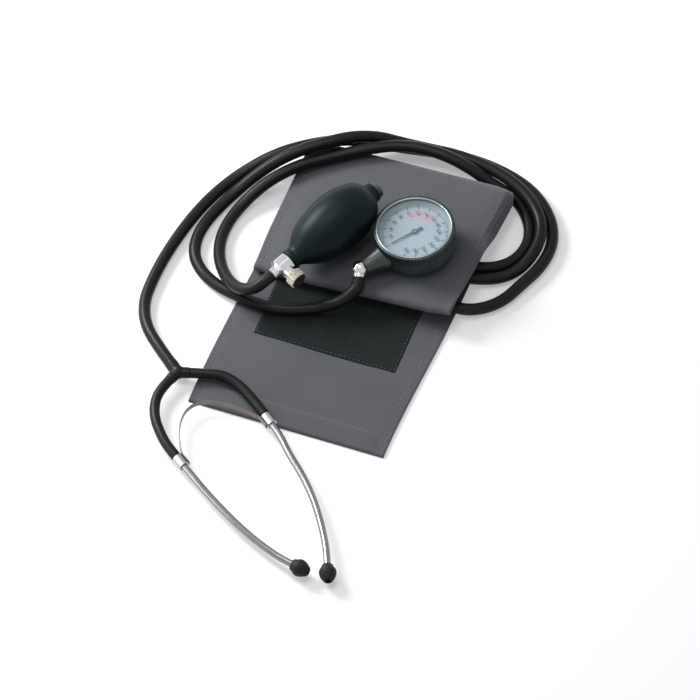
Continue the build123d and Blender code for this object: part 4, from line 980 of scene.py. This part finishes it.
# headset: rubber fork and legs, leaf spring, ear tips
headset = {
    "level": 7.8, "legThick": 7.2,
    "fork": (-90.0, -99.5), "forkBall": 4.9, "forkVoxel": 0.4,
    "forkAngles": (141, -109.5, 16), "forkReach": (10, 9, 9), "forkRadii": (4.5, 3.9, 3.9),
    "leftLeg": [(-93.0044, -107.9837), (-96.2, -117.3), (-95.8, -129.6), (-91.2, -141.4), (-83.8, -151.2),
                (-75.6, -160.1), (-66.662, -166.3829)],
    "rightLeg": [(-81.3486, -97.0193), (-71.736, -94.2629), (-60.5, -91.4), (-49, -94.3), (-39.5, -99.8),
                 (-29.8564, -106.8131), (-22.1571, -112.8763)],
    "leftJoint": (-66.5, -166.5), "leftHeading": (9.0, -6.5), "rightJoint": (-22.0, -113.0),
    "rightHeading": (8.0, -6.3), "springSeat": 4.25, "springTall": 4.0, "springThick": 0.8,
    "springMiddle": (-73.6, -131.2),
    "leftSpring": [(-74.2, -137), (-71, -149)],
    "rightSpring": [(-72.9, -125.3), (-66, -117.5), (-54, -114), (-41, -114)],
    "onClamp": (0, 3, 6, 9.5),  # how far along each clamp the spring's last points lie
}


def flatPoint(pair):
    return (pair[0], pair[1], headset["level"])


def toMesh(piece):
    pick(piece)
    bpy.ops.object.convert(target="MESH")
    return bpy.context.active_object


def makeLeg(name, nodeName):
    route = headset[name]
    leg = toMesh(routedTube(name, [flatPoint(pair) for pair in route], headset["legThick"]))
    smoothed(leg, 60)
    finished(leg, None, finishes["hose"], "hose_rubber", nodeName)
    start = millimetres(*flatPoint(route[1]))
    end = millimetres(*flatPoint(route[-2]))
    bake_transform(leg)


def makeSpringHalf(name, side, clampSide, body, *replaced):
    joint, heading = headset[side + "Joint"], headset[side + "Heading"]
    route = [headset["springMiddle"], *headset[side + "Spring"],
             *[clampPoint(joint, heading, clampSide, along) for along in headset["onClamp"]]]
    curve = splineCurve(name, [millimetres(*pair, 0) for pair in route], 10, "2D")
    curve.fill_mode = "NONE"
    curve.extrude = (headset["springTall"] - headset["springThick"]) / 2000
    curve.bevel_depth = headset["springThick"] / 2000
    curve.bevel_resolution = 2
    piece = bpy.data.objects.new(name, curve)
    scene.collection.objects.link(piece)
    piece = toMesh(piece)
    piece.data.transform(Matrix.Translation((0, 0, headset["level"] / 1000)))
    smoothed(piece, 60)
    finished(piece, None, finishes["leaf"], "steel", *replaced)
    start = millimetres(*flatPoint(route[0]))
    end = millimetres(*flatPoint(route[-len(headset["onClamp"])]))
    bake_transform(piece)


def clampPoint(joint, heading, clampSide, along):
    way = Vector(heading).normalized()
    inward = Vector((-way.y, way.x)) * clampSide * headset["springSeat"]
    spot = Vector(joint) + way * along + inward
    return (spot.x, spot.y)


makeLeg("leftLeg", "left_branch")
makeLeg("rightLeg", "right_branch")
makeSpringHalf("leafSpringLeft", "left", 1, "left_ear", "headset_spring")
makeSpringHalf("leafSpringRight", "right", -1, "right_ear")


def makeFork():
    centre = Vector(flatPoint(headset["fork"]))
    arms = []
    for angle, reach, thick in zip(headset["forkAngles"], headset["forkReach"], headset["forkRadii"]):
        way = Vector((math.cos(math.radians(angle)), math.sin(math.radians(angle)), 0))
        profile = [(0, 0), (thick, 0), (thick, reach - 1.6), (thick - 0.1, reach - 0.5), (thick - 0.3, reach),
                   (0, reach)]
        place = frameOf(centre / 1000, (0, 0, 1), way)
        arms.append(lathed("forkArm", [(r / 1000, h / 1000) for r, h in profile], place, 32))
    bpy.ops.mesh.primitive_uv_sphere_add(segments=32, ring_count=20, radius=headset["forkBall"] / 1000,
                                         location=centre / 1000)
    arms.append(bpy.context.active_object)
    bpy.ops.object.transform_apply(location=True, rotation=True, scale=True)
    fork = joinedAs("tubeFork", arms)
    applied(fork, "REMESH", mode="VOXEL", voxel_size=headset["forkVoxel"] / 1000)
    applied(fork, "SMOOTH", factor=0.6, iterations=8)
    smoothed(fork, 80)
    finished(fork, "base", finishes["hose"], "hose_rubber", "tubing_fork")


makeFork()

# ear tips
earTips = {
    "length": 13.0, "radius": 6.2, "cover": 4.0, "bore": 2.55, "hole": 1.7,
    "left": {"end": (42, -225), "before": (28, -222), "body": "left_ear", "node": "ear_tip_left"},
    "right": {"end": (62.5, -221), "before": (55.5, -204), "body": "right_ear", "node": "ear_tip_right"},
}


def makeEarTip(side):
    tip = earTips[side]
    end, before = Vector(flatPoint(tip["end"])), Vector(flatPoint(tip["before"]))
    way = (end - before).normalized()
    place = frameOf((end - way * earTips["cover"]) / 1000, (0, 0, 1), way)
    long, wide = earTips["length"], earTips["radius"]
    profile = [(earTips["bore"], 0), (3.7, 0), (4.1, 0.4), (4.3, 1.4), (4.9, 2.6), (wide - 0.25, 4.2),
               (wide, 5.8), (wide - 0.3, 7.8), (wide - 1.2, 9.8), (wide - 2.3, 11.6), (3.2, 12.7),
               (2.6, long), (2.0, long), (earTips["hole"], 12.6), (earTips["hole"], earTips["cover"]),
               (earTips["bore"], earTips["cover"])]
    piece = lathed("earTip" + side.title(), [(r / 1000, h / 1000) for r, h in profile], place, 48, closed=True)
    applied(piece, "SUBSURF", levels=1, render_levels=1)
    smoothed(piece, 50)
    finished(piece, tip["body"], finishes["tip"], "ear_tip_rubber", tip["node"])


for earSide in ("left", "right"):
    makeEarTip(earSide)
print("headset is put together")

bpy.ops.object.select_all(action="DESELECT")
print("all pieces are in place")
